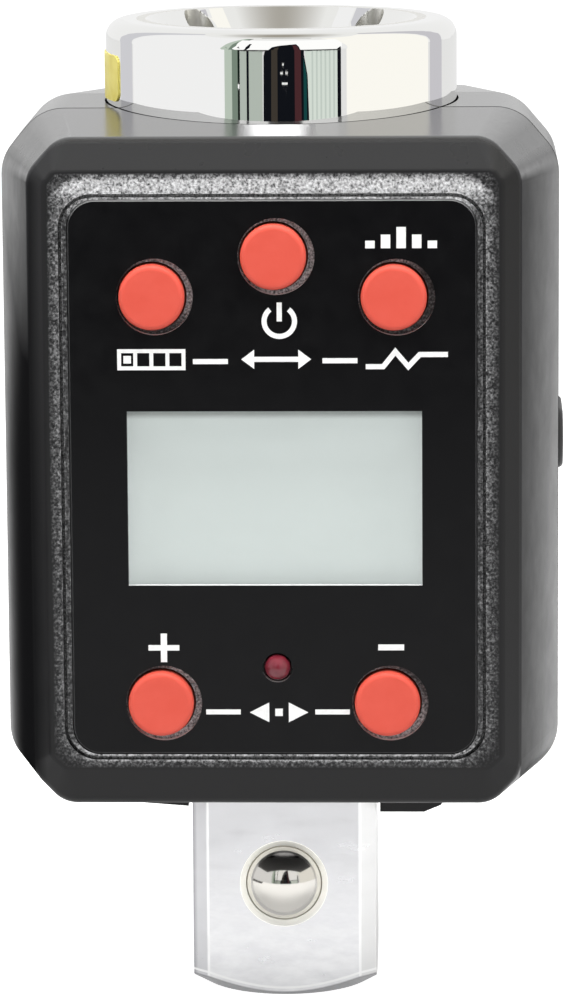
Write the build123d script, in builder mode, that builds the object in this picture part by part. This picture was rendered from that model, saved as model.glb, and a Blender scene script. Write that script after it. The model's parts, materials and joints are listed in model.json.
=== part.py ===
from build123d import *

import os
from math import hypot, sqrt
from typing import NamedTuple

# Digital torque meter that goes between a ratchet and a socket.
# Millimetres. +Z runs up the torque shaft, and the face with the display looks along -Y.
# The origin is the middle of the square drive's end face.

# Torque shaft
DRIVE = 12.7  # width across the flats of the male square
DRIVE_CORNER_DIAMETER = 16.5
DRIVE_END_DIAMETER = 12.0  # flat middle of the drive's end
DRIVE_END_RISE = 1.3  # height of the end's cone at the corners
LAND_DIAMETER = 19.4
LAND_FLATS = 17.6
LAND_HEIGHT = 3.8
GAUGE_DIAMETER = 14.0
GAUGE_FLATS = 12.4
GAUGE_FLAT_LENGTH = 16.0
GAUGE_FILLET = 1.5
NECK_WALL = 1.14  # left outside the female square's corners
NECK_BOTTOM = 50.0
COLLAR_WALL = 1.53  # how far the collar stands out past the neck
COLLAR_BOTTOM = 59.6
COLLAR_TOP = 67.47
COLLAR_EDGE_RADIUS = 1.2
SOCKET_CLEARANCE = 0.08  # female square over the male one, across the flats
SOCKET_DEPTH = 15.5
SOCKET_RELIEF_DIAMETER = 2.2
LEAD_IN_DIAMETER = 18.4
LEAD_IN_FLOOR_DIAMETER = 15.6
LEAD_IN_DEPTH = 1.5
BALL_GROOVE_DEPTH = 8.07  # from the collar's top to the groove's middle
BALL_GROOVE_WIDTH = 3.6
BALL_GROOVE_DIAMETER = 14.0
DRILL_POINT_DIAMETER = 10.0
DRILL_POINT_DEPTH = 2.4

# Detent ball in the drive
BALL_DIAMETER = 5.7
BALL_HEIGHT = 8.0
BALL_MOUTH_DIAMETER = 5.3  # rim that keeps the ball in
BALL_MOUTH_DEPTH = 0.35
BALL_MOUTH_LAND = 0.1
BALL_GAP = 0.05
BALL_TRAVEL = 1.4
BALL_BORE_DEPTH = 9.2
BALL_SINK_DIAMETER = 6.05  # cone that the rim was pressed in with
SPRING_WIRE = 0.5
SPRING_TURNS = 3.5
SPRING_CLEARANCE = 0.2

# Housing, front to back
FRONT_Y = -18.4
SEAM_Y = -5.0
CROWN_Y = 3.0
BACK_Y = 20.5
FRONT_BEVEL_DEPTH = 1.3
FRONT_EDGE_RADIUS = 0.8
BACK_EDGE_RADIUS = 0.8
BACK_BEVEL = 1.6
WALL = 1.8
SEAM_CHAMFER = 0.15
LIP_HEIGHT = 1.2
LIP_INSET = 0.95
LIP_GAP = 0.1
SHAFT_GAP = 0.3  # round the drive
MOUTH_GAP = 0.12  # round the collar
SEAT_TOP = 18.0
SEAT_DIAMETER = 21.2
GASKET = 0.6
GASKET_INSET = 0.1
SADDLE_THICKNESS = 1.6
SADDLE_GAP = 0.1
KEY_RIB_THICKNESS = 2.6  # ribs that keep the housing from turning on the shaft
KEY_RIB_HALF_DEPTH = 4.5

# Front panel
PANEL_WIDTH = 27.6  # field of the front inside its groove
PANEL_HEIGHT = 37.46
PANEL_CENTRE_X = -0.09
PANEL_CENTRE_Z = 38.5
PANEL_RADIUS = 2.0
PANEL_GROOVE = 0.22
LABEL_BORDER = 0.36  # strip of housing left between the label and the groove
LABEL_THICKNESS = 0.45
LABEL_GAP = 0.03
LABEL_POCKET = 0.5
LABEL_CHAMFER = 0.1
LABEL_KEY_GAP = 0.365  # ring of housing seen round each key
LABEL_HOLE_SHIFT = 0.18  # the label's holes sit a little to the right of the keys
WINDOW_WIDTH = 19.46
WINDOW_HEIGHT = 11.68
WINDOW_CENTRE_Z = 37.2
WINDOW_THICKNESS = 0.7
WINDOW_BORDER = 0.9
WINDOW_GAP = 0.05
LED_PLACE = (0.1, 25.8)
LED_DIAMETER = 1.75
LED_BASE_DIAMETER = 2.4
LED_PROUD = 0.5
LED_CLEARANCE = 0.12

# Keys: X and Z of each
KEY_PLACES = {
    "memory_key": (-8.0, 50.65),
    "power_key": (0.0, 53.3),
    "peak_key": (7.9, 50.6),
    "plus_key": (-7.65, 23.4),
    "minus_key": (7.4, 23.4),
}
KEY_DIAMETER = 4.34
KEY_PROUD = 0.55
KEY_EDGE_RADIUS = 0.35
KEY_CLEARANCE = 0.12
KEY_FLANGE_RIM = 0.63  # how far the flange reaches past the cap
KEY_FLANGE = 0.5
KEY_STEM_DIAMETER = 1.6
KEY_TRAVEL = 0.4
KEY_GAP = 0.05
KEY_STEM_ENTRY = 0.15  # how far the stem reaches into its switch at rest

# Display and board
BOARD_DEPTH = 3.4  # from the inside of the front panel to the board
BOARD_THICKNESS = 1.0
BOARD_WIDTH = 26.4
BOARD_BOTTOM = 19.2
BOARD_TOP = 56.8
BOARD_GAP = 0.3
LCD_WIDTH = 23.0
LCD_HEIGHT = 15.6
LCD_THICKNESS = 1.8
LCD_GAP = 0.1
LCD_FRAME_RIM = 0.9
LCD_LEDGE = 0.85
ZEBRA_THICKNESS = 1.4
SWITCH_SIZE = 3.6
SWITCH_HEIGHT = 1.3
SWITCH_WELL_DIAMETER = 2.0
POST_X = 11.9
POST_HEIGHTS = (27.0, 47.4)
POST_DIAMETER = 2.6
BOARD_SCREW_DIAMETER = 1.2
BOARD_SCREW_HEAD = 2.2
BOARD_SCREW_HEAD_HEIGHT = 0.7
BOARD_SCREW_LENGTH = 3.4
BUZZER_DIAMETER = 9.0
BUZZER_HEIGHT = 2.6
BUZZER_HOLE = 1.6
BUZZER_CHAMFER = 0.3
BUZZER_PLACE = (-8.2, 41.0)
CHIP_SIZE = 7.0
CHIP_HEIGHT = 1.0
CHIP_PLACE = (8.0, 40.0)
AMPLIFIER_SIZE = 4.0
AMPLIFIER_PLACE = (7.0, 31.5)
FLEX_SOCKET_WIDTH = 7.0
FLEX_SOCKET_HEIGHT = 2.0
FLEX_SOCKET_Z = 30.6

# Strain gauges and wiring
GAUGE_WIDTH = 8.0
GAUGE_HEIGHT = 9.0
GAUGE_THICKNESS = 0.1
GAUGE_GRID = 4.4
GAUGE_GRID_HEIGHT = 3.08
FLEX_WIDTH = 5.0
FLEX_THICKNESS = 0.12
FLEX_TOP = 40.0
FLEX_BEND_Z = 34.0
FLEX_BEND_RADIUS = 1.2
LEAD_DIAMETER = 0.9
LEAD_CLEAR_X = 9.5
LEAD_BEND_RADIUS = 1.4
NEGATIVE_LEAD_PLACE = (-3.0, 31.0)

# Case screws
SCREW_HEIGHTS = (22.0, 55.8)
SCREW_DIAMETER = 2.0
SCREW_HEAD_DIAMETER = 3.4
SCREW_HEAD_HEIGHT = 1.4
SCREW_HEAD_CHAMFER = 0.3
SCREW_END_GAP = 0.05
SCREW_SEAT_Y = 2.0
SCREW_LENGTH = 13.0
SCREW_GAP = 0.02
SCREW_CLEARANCE = 0.15
BOSS_DIAMETER = 4.2
COLUMN_DIAMETER = 4.8
COLUMN_CLEARANCE = 0.9  # between the shaft's neck and the columns

# Battery
CELL_DIAMETER = 20.0
CELL_THICKNESS = 3.2
CELL_EDGE_CHAMFER = 0.3
CELL_CAP_INSET = 1.3  # from the cell's rim to its cap
CELL_CAP_HEIGHT = 0.3
CELL_CENTRE_Z = 36.0
CELL_CLEARANCE = 0.3
CELL_FLOOR_GAP = 0.35
CUP_WALL = 1.0
CUP_FLOOR = 1.2
COVER_THICKNESS = 1.6
COVER_SIDE = 0.3  # cover past the cell's cup, to each side
COVER_OVERHANG = 1.3  # cover past the cell's cup, at the top
COVER_TONGUE = 0.8
COVER_TONGUE_THICKNESS = 0.9
COVER_GAP = 0.15
COVER_FLOOR = 1.2
GRIP_GROOVES = 5
GRIP_PITCH = 1.5
GRIP_WIDTH = 9.0
GRIP_DROP = 5.6  # from the cover's top to the middle of its grip
GRIP_DEPTH = 0.35
CONTACT_THICKNESS = 0.25
CONTACT_WIDTH = 6.0
CONTACT_GAP = 0.05
CONTACT_REACH = 1.0

# Data port on the right side
PORT_Y = 1.0
PORT_Z = 38.55
PORT_WIDTH = 7.5
PORT_HEIGHT = 2.6
PORT_DEPTH = 4.6
PORT_SHELL = 0.3
PORT_MOUTH_X = 16.7
PORT_TONGUE = 0.6
PORT_BOARD_X = 9.0
PORT_BOARD_WIDTH = 9.2
PORT_BOARD_THICKNESS = 0.8
PLUG_WIDTH = 9.4
PLUG_HEIGHT = 4.12
PLUG_OUTER_X = 19.3
PLUG_FLANGE = 0.9
PLUG_EDGE_RADIUS = 0.3
PLUG_GAP = 0.12
PLUG_NECK_WIDTH = 7.9
PLUG_NECK_HEIGHT = 3.0
PLUG_REACH = 1.2

# Low rib under the housing, either side of the drive
RIB_FRONT_Y = -4.6
RIB_THICKNESS = 2.2
RIB_LOW = 12.7
RIB_LEFT_LOW = 13.1
RIB_RIGHT = 10.9
RIB_LEFT = 14.2
RIB_SLANT = 1.2
RIB_SLANT_HEIGHT = 0.5
RIB_END = 1.4  # from the rib's slant to where it meets the housing

# Bare calibration sticker on the collar's left side
STICKER_DROP = 2.2  # from the collar's top
STICKER_HEIGHT = 3.1
STICKER_WIDTH = 10.6
STICKER_RADIUS = 0.6
STICKER_THICKNESS = 0.1


# Modelling
SMALLEST_ROUNDING = 0.4
NEAR = 0.001  # places closer than this are the same


class Outline(NamedTuple):
    """Eight-sided outline with rounded corners, as seen from the front."""

    half_width: float
    bottom: float
    top: float
    top_cut_width: float
    top_cut_height: float
    bottom_cut_width: float
    bottom_cut_height: float
    rounding: float


FRONT_FACE = Outline(14.98, 19.0, 58.85, 0.6, 0.7, 0.9, 0.8, 0.6)
FRONT_EDGE = Outline(16.27, 16.24, 61.02, 2.1, 2.35, 2.0, 2.1, 2.2)
SEAM = Outline(18.95, 15.6, 61.77, 2.8, 3.3, 2.0, 2.1, 3.2)
CROWN = Outline(18.9, 15.6, 62.0, 2.9, 3.4, 2.0, 2.1, 3.2)
BACK_EDGE = Outline(17.2, 16.7, 61.0, 3.8, 3.8, 2.6, 2.6, 3.2)

# Sizes and places that follow from the sizes above
SOCKET = DRIVE + SOCKET_CLEARANCE
SOCKET_FLOOR = COLLAR_TOP - SOCKET_DEPTH
RELIEF_PLACE = (SOCKET - SOCKET_RELIEF_DIAMETER / 2) / 2
NECK_DIAMETER = 2 * RELIEF_PLACE * sqrt(2) + SOCKET_RELIEF_DIAMETER + 2 * NECK_WALL
COLLAR_DIAMETER = NECK_DIAMETER + 2 * COLLAR_WALL
LAND_BOTTOM = SEAT_TOP + GASKET
LAND_TOP = LAND_BOTTOM + LAND_HEIGHT
SADDLE_TOP = COLLAR_BOTTOM - GASKET
SADDLE_BOTTOM = SADDLE_TOP - SADDLE_THICKNESS
MOUTH_DIAMETER = COLLAR_DIAMETER + 2 * MOUTH_GAP
DRIVE_HOLE_DIAMETER = DRIVE_CORNER_DIAMETER + 2 * SHAFT_GAP
DRIVE_FACE_Y = -DRIVE / 2
FRONT_EDGE_Y = FRONT_Y + FRONT_BEVEL_DEPTH
BACK_EDGE_Y = BACK_Y - BACK_BEVEL
LABEL_WIDTH = PANEL_WIDTH - 2 * LABEL_BORDER
LABEL_HEIGHT = PANEL_HEIGHT - LABEL_BORDER
LABEL_RADIUS = PANEL_RADIUS - LABEL_BORDER / 2
PANEL_Y = FRONT_Y + LABEL_POCKET
INNER_Y = FRONT_Y + WALL
LCD_FRONT_Y = INNER_Y + LCD_GAP
LCD_BACK_Y = LCD_FRONT_Y + LCD_THICKNESS
BOARD_FRONT_Y = INNER_Y + BOARD_DEPTH
BOARD_BACK_Y = BOARD_FRONT_Y + BOARD_THICKNESS
SWITCH_FRONT_Y = BOARD_FRONT_Y - SWITCH_HEIGHT
TONGUE_BACK_Y = BACK_Y - COVER_THICKNESS
COVER_INNER_Y = TONGUE_BACK_Y - COVER_TONGUE_THICKNESS
COVER_FLOOR_Y = COVER_INNER_Y - COVER_GAP
CELL_BACK_Y = COVER_FLOOR_Y - COVER_GAP
CELL_FRONT_Y = CELL_BACK_Y - CELL_THICKNESS
CUP_FLOOR_Y = CELL_FRONT_Y - CELL_FLOOR_GAP
CUP_BACK_Y = CUP_FLOOR_Y - CUP_FLOOR
CUP_DIAMETER = CELL_DIAMETER + 2 * CELL_CLEARANCE
COVER_HALF_WIDTH = CUP_DIAMETER / 2 + COVER_SIDE
COVER_TOP = CELL_CENTRE_Z + CUP_DIAMETER / 2 + COVER_OVERHANG
CONTACT_Z = CELL_CENTRE_Z + CELL_DIAMETER / 2 + CONTACT_GAP
SCREW_TIP_Y = SCREW_SEAT_Y - SCREW_LENGTH
SCREW_X = (NECK_DIAMETER + COLUMN_DIAMETER) / 2 + COLUMN_CLEARANCE
PORT_BOARD_TOP = PORT_Z - PORT_HEIGHT / 2
PORT_BOARD_BOTTOM = PORT_BOARD_TOP - PORT_BOARD_THICKNESS
SCREW_PLACES = [(side * SCREW_X, z) for side in (-1, 1) for z in SCREW_HEIGHTS]
POST_PLACES = [(side * POST_X, z) for side in (-1, 1) for z in POST_HEIGHTS]
KEY_CENTRES = list(KEY_PLACES.values())


def between(first, second, share):
    """Outline at a share of the way from the first outline to the second."""
    return Outline(*(a + (b - a) * share for a, b in zip(first, second)))


def cut_inside(width, height, inset):
    """Corner cut that keeps a wall of one thickness along the slanted side."""
    slant = hypot(width, height)
    return (
        width + inset * ((slant - width) / height - 1),
        height + inset * ((slant - height) / width - 1),
    )


def shrunk(outline, inset):
    """The outline moved inwards by an even distance."""
    return Outline(
        outline.half_width - inset,
        outline.bottom + inset,
        outline.top - inset,
        *cut_inside(outline.top_cut_width, outline.top_cut_height, inset),
        *cut_inside(outline.bottom_cut_width, outline.bottom_cut_height, inset),
        max(outline.rounding - inset, SMALLEST_ROUNDING),
    )


def front_outline(y):
    """Outline of the front half at depth y."""
    return between(SEAM, FRONT_EDGE, (SEAM_Y - y) / (SEAM_Y - FRONT_EDGE_Y))


def back_outline(y):
    """Outline of the back half at depth y, behind its crown."""
    return between(CROWN, BACK_EDGE, (y - CROWN_Y) / (BACK_EDGE_Y - CROWN_Y))


def layer(y):
    """Plane at depth y that looks to the front, with X to the right and Z up."""
    return Plane.XZ.offset(-y)


def level(z):
    """Horizontal plane at height z."""
    return Plane.XY.offset(z)


def draw_outline(outline):
    """Draw a housing outline in the sketch at hand."""
    side, low, high = outline.half_width, outline.bottom, outline.top
    top_x, top_z = side - outline.top_cut_width, high - outline.top_cut_height
    bottom_x, bottom_z = side - outline.bottom_cut_width, low + outline.bottom_cut_height
    right = [(bottom_x, low), (side, bottom_z), (side, top_z), (top_x, high)]
    left = [(-x, z) for x, z in reversed(right)]
    with BuildLine() as rim:
        Polyline(*right, *left, close=True)
    make_face(rim.edges())
    fillet(vertices(), outline.rounding)


def loft_outlines(stations, mode=Mode.ADD):
    """Loft straight walls through outlines, each given with its depth."""
    sections = []
    for y, outline in stations:
        with BuildSketch(layer(y)) as section:
            draw_outline(outline)
        sections.append(section.sketch.faces()[0])
    loft(sections, ruled=True, mode=mode)


def plate(front, back, width, height, centre, radius=0.0, mode=Mode.ADD):
    """Plate between two depths around an (x, z) centre, with rounded corners if asked."""
    with BuildSketch(layer(back)) as section:
        with Locations(centre):
            if radius:
                RectangleRounded(width, height, radius)
            else:
                Rectangle(width, height)
    extrude(section.sketch, amount=back - front, mode=mode)


def rods(front, back, diameter, centres, mode=Mode.ADD):
    """Round rods between two depths, one at each (x, z) centre."""
    with BuildSketch(layer(back)) as section:
        with Locations(*centres):
            Circle(diameter / 2)
    extrude(section.sketch, amount=back - front, mode=mode)


def disc(low, high, diameter, mode=Mode.ADD):
    """Disc on the shaft's axis between two heights."""
    with BuildSketch(level(low)) as section:
        Circle(diameter / 2)
    extrude(section.sketch, amount=high - low, mode=mode)


def block(corner, opposite, mode=Mode.ADD):
    """Block between two opposite corners."""
    size = [far - near for near, far in zip(corner, opposite)]
    with Locations(corner):
        Box(*size, align=(Align.MIN, Align.MIN, Align.MIN), mode=mode)


def cone_ring(axis_points, mode=Mode.SUBTRACT):
    """Ring or cone turned about the shaft's axis from its (radius, z) section."""
    with BuildSketch(Plane.XZ) as section:
        with BuildLine():
            Polyline(*axis_points, close=True)
        make_face()
    revolve(section.sketch, axis=Axis.Z, mode=mode)


def slot_prism(x_low, x_high, width, height, mode=Mode.ADD):
    """Round-ended prism along X, centred on the data port."""
    with BuildSketch(Plane.YZ.offset(x_low)) as section:
        with Locations((PORT_Y, PORT_Z)):
            SlotOverall(width, height)
    extrude(section.sketch, amount=x_high - x_low, mode=mode)


def seam_ring(outer_inset, inner_inset, height, mode=Mode.ADD):
    """Ring along the seam between two insets, standing forward of it."""
    with BuildSketch(layer(SEAM_Y)) as hole:
        draw_outline(shrunk(SEAM, inner_inset))
    with BuildSketch(layer(SEAM_Y)) as ring:
        draw_outline(shrunk(SEAM, outer_inset))
        add(hole.sketch_local, mode=Mode.SUBTRACT)
    extrude(ring.sketch, amount=height, mode=mode)


def edges_at(part, y):
    """Edges of a part that lie in the plane at depth y."""
    return part.edges().filter_by_position(Axis.Y, y - NEAR, y + NEAR)


def save(part, name):
    """Name a finished piece and write it."""
    part.label = name
    export_step(part, f"parts/{name}.step")


os.makedirs("parts", exist_ok=True)

# Torque shaft: one steel piece from the socket at the top to the drive at the bottom.
with BuildPart() as torque_shaft:
    with BuildSketch():
        Rectangle(DRIVE, DRIVE)
        Circle(DRIVE_CORNER_DIAMETER / 2, mode=Mode.INTERSECT)
    extrude(amount=LAND_BOTTOM)
    end_radius = DRIVE_END_DIAMETER / 2
    slope = DRIVE_END_RISE / (DRIVE_CORNER_DIAMETER / 2 - end_radius)
    past_corner = DRIVE_CORNER_DIAMETER / 2 + DRIVE_END_RISE
    cone_ring([(end_radius, 0), (past_corner, 0), (past_corner, slope * (past_corner - end_radius))])

    with BuildSketch(level(LAND_BOTTOM)):
        Circle(LAND_DIAMETER / 2)
        Rectangle(LAND_FLATS, LAND_DIAMETER, mode=Mode.INTERSECT)
    extrude(amount=LAND_HEIGHT)
    disc(LAND_TOP, NECK_BOTTOM, GAUGE_DIAMETER)
    disc(NECK_BOTTOM, COLLAR_BOTTOM, NECK_DIAMETER)
    gauge_ends = edges().filter_by(GeomType.CIRCLE).filter_by(
        lambda edge: abs(edge.radius - GAUGE_DIAMETER / 2) < NEAR
    )
    fillet(gauge_ends, GAUGE_FILLET)
    flat_centre_z = (LAND_TOP + NECK_BOTTOM) / 2
    for side in (-1, 1):
        with Locations((0, side * (GAUGE_FLATS / 2 + GAUGE_DIAMETER / 2), flat_centre_z)):
            Box(GAUGE_DIAMETER, GAUGE_DIAMETER, GAUGE_FLAT_LENGTH, mode=Mode.SUBTRACT)
    disc(COLLAR_BOTTOM, COLLAR_TOP, COLLAR_DIAMETER)
    fillet(faces().sort_by(Axis.Z)[-1].edges(), COLLAR_EDGE_RADIUS)

    # Female square with relieved corners, a round lead-in and a groove for the ratchet's ball
    with BuildSketch(level(SOCKET_FLOOR)):
        Rectangle(SOCKET, SOCKET)
        with GridLocations(2 * RELIEF_PLACE, 2 * RELIEF_PLACE, 2, 2):
            Circle(SOCKET_RELIEF_DIAMETER / 2)
    extrude(amount=SOCKET_DEPTH, mode=Mode.SUBTRACT)
    cone_ring([
        (0, COLLAR_TOP), (LEAD_IN_DIAMETER / 2, COLLAR_TOP),
        (LEAD_IN_FLOOR_DIAMETER / 2, COLLAR_TOP - LEAD_IN_DEPTH), (0, COLLAR_TOP - LEAD_IN_DEPTH),
    ])
    cone_ring([
        (0, SOCKET_FLOOR), (DRILL_POINT_DIAMETER / 2, SOCKET_FLOOR), (0, SOCKET_FLOOR - DRILL_POINT_DEPTH),
    ])
    groove_low = COLLAR_TOP - BALL_GROOVE_DEPTH - BALL_GROOVE_WIDTH / 2
    disc(groove_low, groove_low + BALL_GROOVE_WIDTH, BALL_GROOVE_DIAMETER, mode=Mode.SUBTRACT)

    # Bore for the detent ball, with a rim pressed in at its mouth
    ball_place = (0, BALL_HEIGHT)
    bore_diameter = BALL_DIAMETER + 2 * BALL_GAP
    bore_front_y = DRIVE_FACE_Y + BALL_MOUTH_DEPTH
    bore_floor_y = DRIVE_FACE_Y + BALL_BORE_DEPTH
    rods(bore_front_y, bore_floor_y, bore_diameter, [ball_place], mode=Mode.SUBTRACT)
    rods(DRIVE_FACE_Y, bore_front_y, BALL_MOUTH_DIAMETER, [ball_place], mode=Mode.SUBTRACT)
    cone_depth = BALL_MOUTH_DEPTH - BALL_MOUTH_LAND
    with BuildSketch(level(BALL_HEIGHT)) as sink:
        with BuildLine():
            Polyline(
                (0, DRIVE_FACE_Y), (BALL_SINK_DIAMETER / 2, DRIVE_FACE_Y),
                (BALL_MOUTH_DIAMETER / 2, DRIVE_FACE_Y + cone_depth), (0, DRIVE_FACE_Y + cone_depth),
                close=True,
            )
        make_face()
    revolve(sink.sketch, axis=Axis((0, 0, BALL_HEIGHT), (0, 1, 0)), mode=Mode.SUBTRACT)
save(torque_shaft.part, "torque_shaft")

# Detent ball and its spring
mouth_reach = sqrt((BALL_DIAMETER / 2) ** 2 - (BALL_MOUTH_DIAMETER / 2) ** 2)
ball_y = bore_front_y + mouth_reach + BALL_GAP
with BuildPart() as detent_ball:
    with Locations((0, ball_y, BALL_HEIGHT)):
        Sphere(BALL_DIAMETER / 2)
save(detent_ball.part, "detent_ball")

spring_front_y = ball_y + BALL_DIAMETER / 2 + BALL_GAP + SPRING_WIRE / 2
spring_length = bore_floor_y - SPRING_WIRE / 2 - spring_front_y
spring_radius = (bore_diameter - SPRING_WIRE) / 2 - SPRING_CLEARANCE
with BuildPart() as detent_spring:
    with BuildLine() as coil:
        Helix(
            spring_length / SPRING_TURNS, spring_length, spring_radius,
            center=(0, spring_front_y, BALL_HEIGHT), direction=(0, 1, 0),
        )
    with BuildSketch(Plane(origin=coil.line @ 0, z_dir=coil.line % 0)):
        Circle(SPRING_WIRE / 2)
    sweep(is_frenet=True)
save(detent_spring.part, "detent_spring")

# Strain gauges, bonded to the shaft's two flats
flat_y = GAUGE_FLATS / 2
with BuildPart() as strain_gauges:
    centre = (0, flat_centre_z)
    for side in (-1, 1):
        film = sorted((side * flat_y, side * (flat_y + GAUGE_THICKNESS)))
        grid = sorted((side * flat_y, side * (flat_y + 2 * GAUGE_THICKNESS)))
        plate(*film, GAUGE_WIDTH, GAUGE_HEIGHT, centre)
        for step in (-1, 1):
            grid_centre = (0, flat_centre_z + step * GAUGE_GRID / 2)
            plate(*grid, GAUGE_GRID, GAUGE_GRID_HEIGHT, grid_centre)
save(strain_gauges.part, "strain_gauges")

# Gaskets that the collar and the land press on
with BuildPart() as upper_gasket:
    disc(SADDLE_TOP, COLLAR_BOTTOM, COLLAR_DIAMETER - 2 * GASKET_INSET)
    disc(SADDLE_TOP, COLLAR_BOTTOM, NECK_DIAMETER + 2 * GASKET_INSET, mode=Mode.SUBTRACT)
save(upper_gasket.part, "upper_gasket")

with BuildPart() as lower_gasket:
    disc(SEAT_TOP, LAND_BOTTOM, LAND_DIAMETER - 2 * GASKET_INSET)
    disc(SEAT_TOP, LAND_BOTTOM, DRIVE_HOLE_DIAMETER, mode=Mode.SUBTRACT)
save(lower_gasket.part, "lower_gasket")

# Hollow of the front shell, less the ribs, bosses and posts that stand in it
with BuildPart() as front_hollow:
    loft_outlines([(SEAM_Y, shrunk(SEAM, WALL)), (INNER_Y, shrunk(front_outline(INNER_Y), WALL))])
    rods(INNER_Y, SEAM_Y, BOSS_DIAMETER, SCREW_PLACES, mode=Mode.SUBTRACT)
    rods(INNER_Y, BOARD_FRONT_Y, POST_DIAMETER, POST_PLACES, mode=Mode.SUBTRACT)
    block((-SEAM.half_width, INNER_Y, SADDLE_BOTTOM), (SEAM.half_width, SEAM_Y, SADDLE_TOP), Mode.SUBTRACT)
    disc(SEAM.bottom, SEAT_TOP, SEAT_DIAMETER, mode=Mode.SUBTRACT)

with BuildPart() as front_shell:
    loft_outlines([
        (SEAM_Y, shrunk(SEAM, SEAM_CHAMFER)), (SEAM_Y - SEAM_CHAMFER, front_outline(SEAM_Y - SEAM_CHAMFER)),
        (FRONT_EDGE_Y, FRONT_EDGE), (FRONT_Y, FRONT_FACE),
    ])
    fillet(edges_at(front_shell, FRONT_EDGE_Y) + edges_at(front_shell, FRONT_Y), FRONT_EDGE_RADIUS)
    add(front_hollow.part, mode=Mode.SUBTRACT)
    # Groove round the panel, pocket for the label and the window behind it
    panel_centre = (PANEL_CENTRE_X, PANEL_CENTRE_Z)
    with BuildSketch(layer(PANEL_Y)):
        with Locations(panel_centre):
            RectangleRounded(
                PANEL_WIDTH + 2 * PANEL_GROOVE, PANEL_HEIGHT + 2 * PANEL_GROOVE, PANEL_RADIUS + PANEL_GROOVE
            )
            RectangleRounded(PANEL_WIDTH, PANEL_HEIGHT, PANEL_RADIUS, mode=Mode.SUBTRACT)
            RectangleRounded(
                LABEL_WIDTH + 2 * LABEL_GAP, LABEL_HEIGHT + 2 * LABEL_GAP, LABEL_RADIUS + LABEL_GAP
            )
    extrude(amount=LABEL_POCKET, mode=Mode.SUBTRACT)
    window_centre = (0, WINDOW_CENTRE_Z)
    lens_width = WINDOW_WIDTH + 2 * WINDOW_BORDER
    lens_height = WINDOW_HEIGHT + 2 * WINDOW_BORDER
    plate(
        PANEL_Y, PANEL_Y + WINDOW_THICKNESS, lens_width + 2 * WINDOW_GAP, lens_height + 2 * WINDOW_GAP,
        window_centre, mode=Mode.SUBTRACT,
    )
    plate(
        PANEL_Y, INNER_Y, lens_width - WINDOW_BORDER, lens_height - WINDOW_BORDER,
        window_centre, mode=Mode.SUBTRACT,
    )
    rods(PANEL_Y, INNER_Y, KEY_DIAMETER + 2 * KEY_CLEARANCE, KEY_CENTRES, mode=Mode.SUBTRACT)
    rods(PANEL_Y, INNER_Y, LED_DIAMETER + 2 * LED_CLEARANCE, [LED_PLACE], mode=Mode.SUBTRACT)
    # Pilot holes for the screws
    pilot_front = SCREW_TIP_Y - SCREW_END_GAP
    rods(pilot_front, SEAM_Y, SCREW_DIAMETER + 2 * SCREW_GAP, SCREW_PLACES, mode=Mode.SUBTRACT)
    board_pilot_front = BOARD_BACK_Y - BOARD_SCREW_LENGTH - SCREW_GAP
    rods(
        board_pilot_front, BOARD_FRONT_Y, BOARD_SCREW_DIAMETER + 2 * SCREW_GAP, POST_PLACES,
        mode=Mode.SUBTRACT,
    )
    # Openings for the shaft
    disc(SADDLE_TOP, CROWN.top, MOUTH_DIAMETER, mode=Mode.SUBTRACT)
    disc(SADDLE_BOTTOM, SADDLE_TOP, NECK_DIAMETER + 2 * SADDLE_GAP, mode=Mode.SUBTRACT)
    disc(0, SEAT_TOP, DRIVE_HOLE_DIAMETER, mode=Mode.SUBTRACT)
    # Rabbet for the back shell's lip
    seam_ring(LIP_INSET - LIP_GAP, WALL + LIP_GAP, LIP_HEIGHT + LIP_GAP, mode=Mode.SUBTRACT)
save(front_shell.part, "front_shell")

# Face label, a glued plate
with BuildPart() as face_label:
    label_front_y = PANEL_Y - LABEL_THICKNESS
    plate(label_front_y, PANEL_Y, LABEL_WIDTH, LABEL_HEIGHT, panel_centre, radius=LABEL_RADIUS)
    chamfer(edges_at(face_label, label_front_y), LABEL_CHAMFER)
    label_holes = [(x + LABEL_HOLE_SHIFT, z) for x, z in KEY_CENTRES]
    rods(label_front_y, PANEL_Y, KEY_DIAMETER + 2 * LABEL_KEY_GAP, label_holes, mode=Mode.SUBTRACT)
    rods(label_front_y, PANEL_Y, LED_DIAMETER + 2 * LED_CLEARANCE, [LED_PLACE], mode=Mode.SUBTRACT)
    plate(label_front_y, PANEL_Y, WINDOW_WIDTH, WINDOW_HEIGHT, window_centre, mode=Mode.SUBTRACT)
save(face_label.part, "face_label")

# Clear window behind the label
with BuildPart() as display_window:
    plate(PANEL_Y, PANEL_Y + WINDOW_THICKNESS, lens_width, lens_height, window_centre)
save(display_window.part, "display_window")

# Display glass, its frame and the two contact strips that join it to the board
with BuildPart() as lcd_panel:
    plate(LCD_FRONT_Y, LCD_BACK_Y, LCD_WIDTH, LCD_HEIGHT, window_centre)
save(lcd_panel.part, "lcd_panel")

with BuildPart() as lcd_frame:
    pocket_width = LCD_WIDTH + LCD_GAP
    pocket_height = LCD_HEIGHT + LCD_GAP
    plate(
        LCD_FRONT_Y + LCD_GAP, BOARD_FRONT_Y,
        pocket_width + 2 * LCD_FRAME_RIM, pocket_height + 2 * LCD_FRAME_RIM, window_centre,
    )
    plate(
        LCD_FRONT_Y, LCD_BACK_Y, pocket_width, pocket_height, window_centre, mode=Mode.SUBTRACT,
    )
    plate(
        LCD_BACK_Y, BOARD_FRONT_Y, pocket_width - 2 * LCD_LEDGE, pocket_height, window_centre,
        mode=Mode.SUBTRACT,
    )
save(lcd_frame.part, "lcd_frame")

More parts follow.
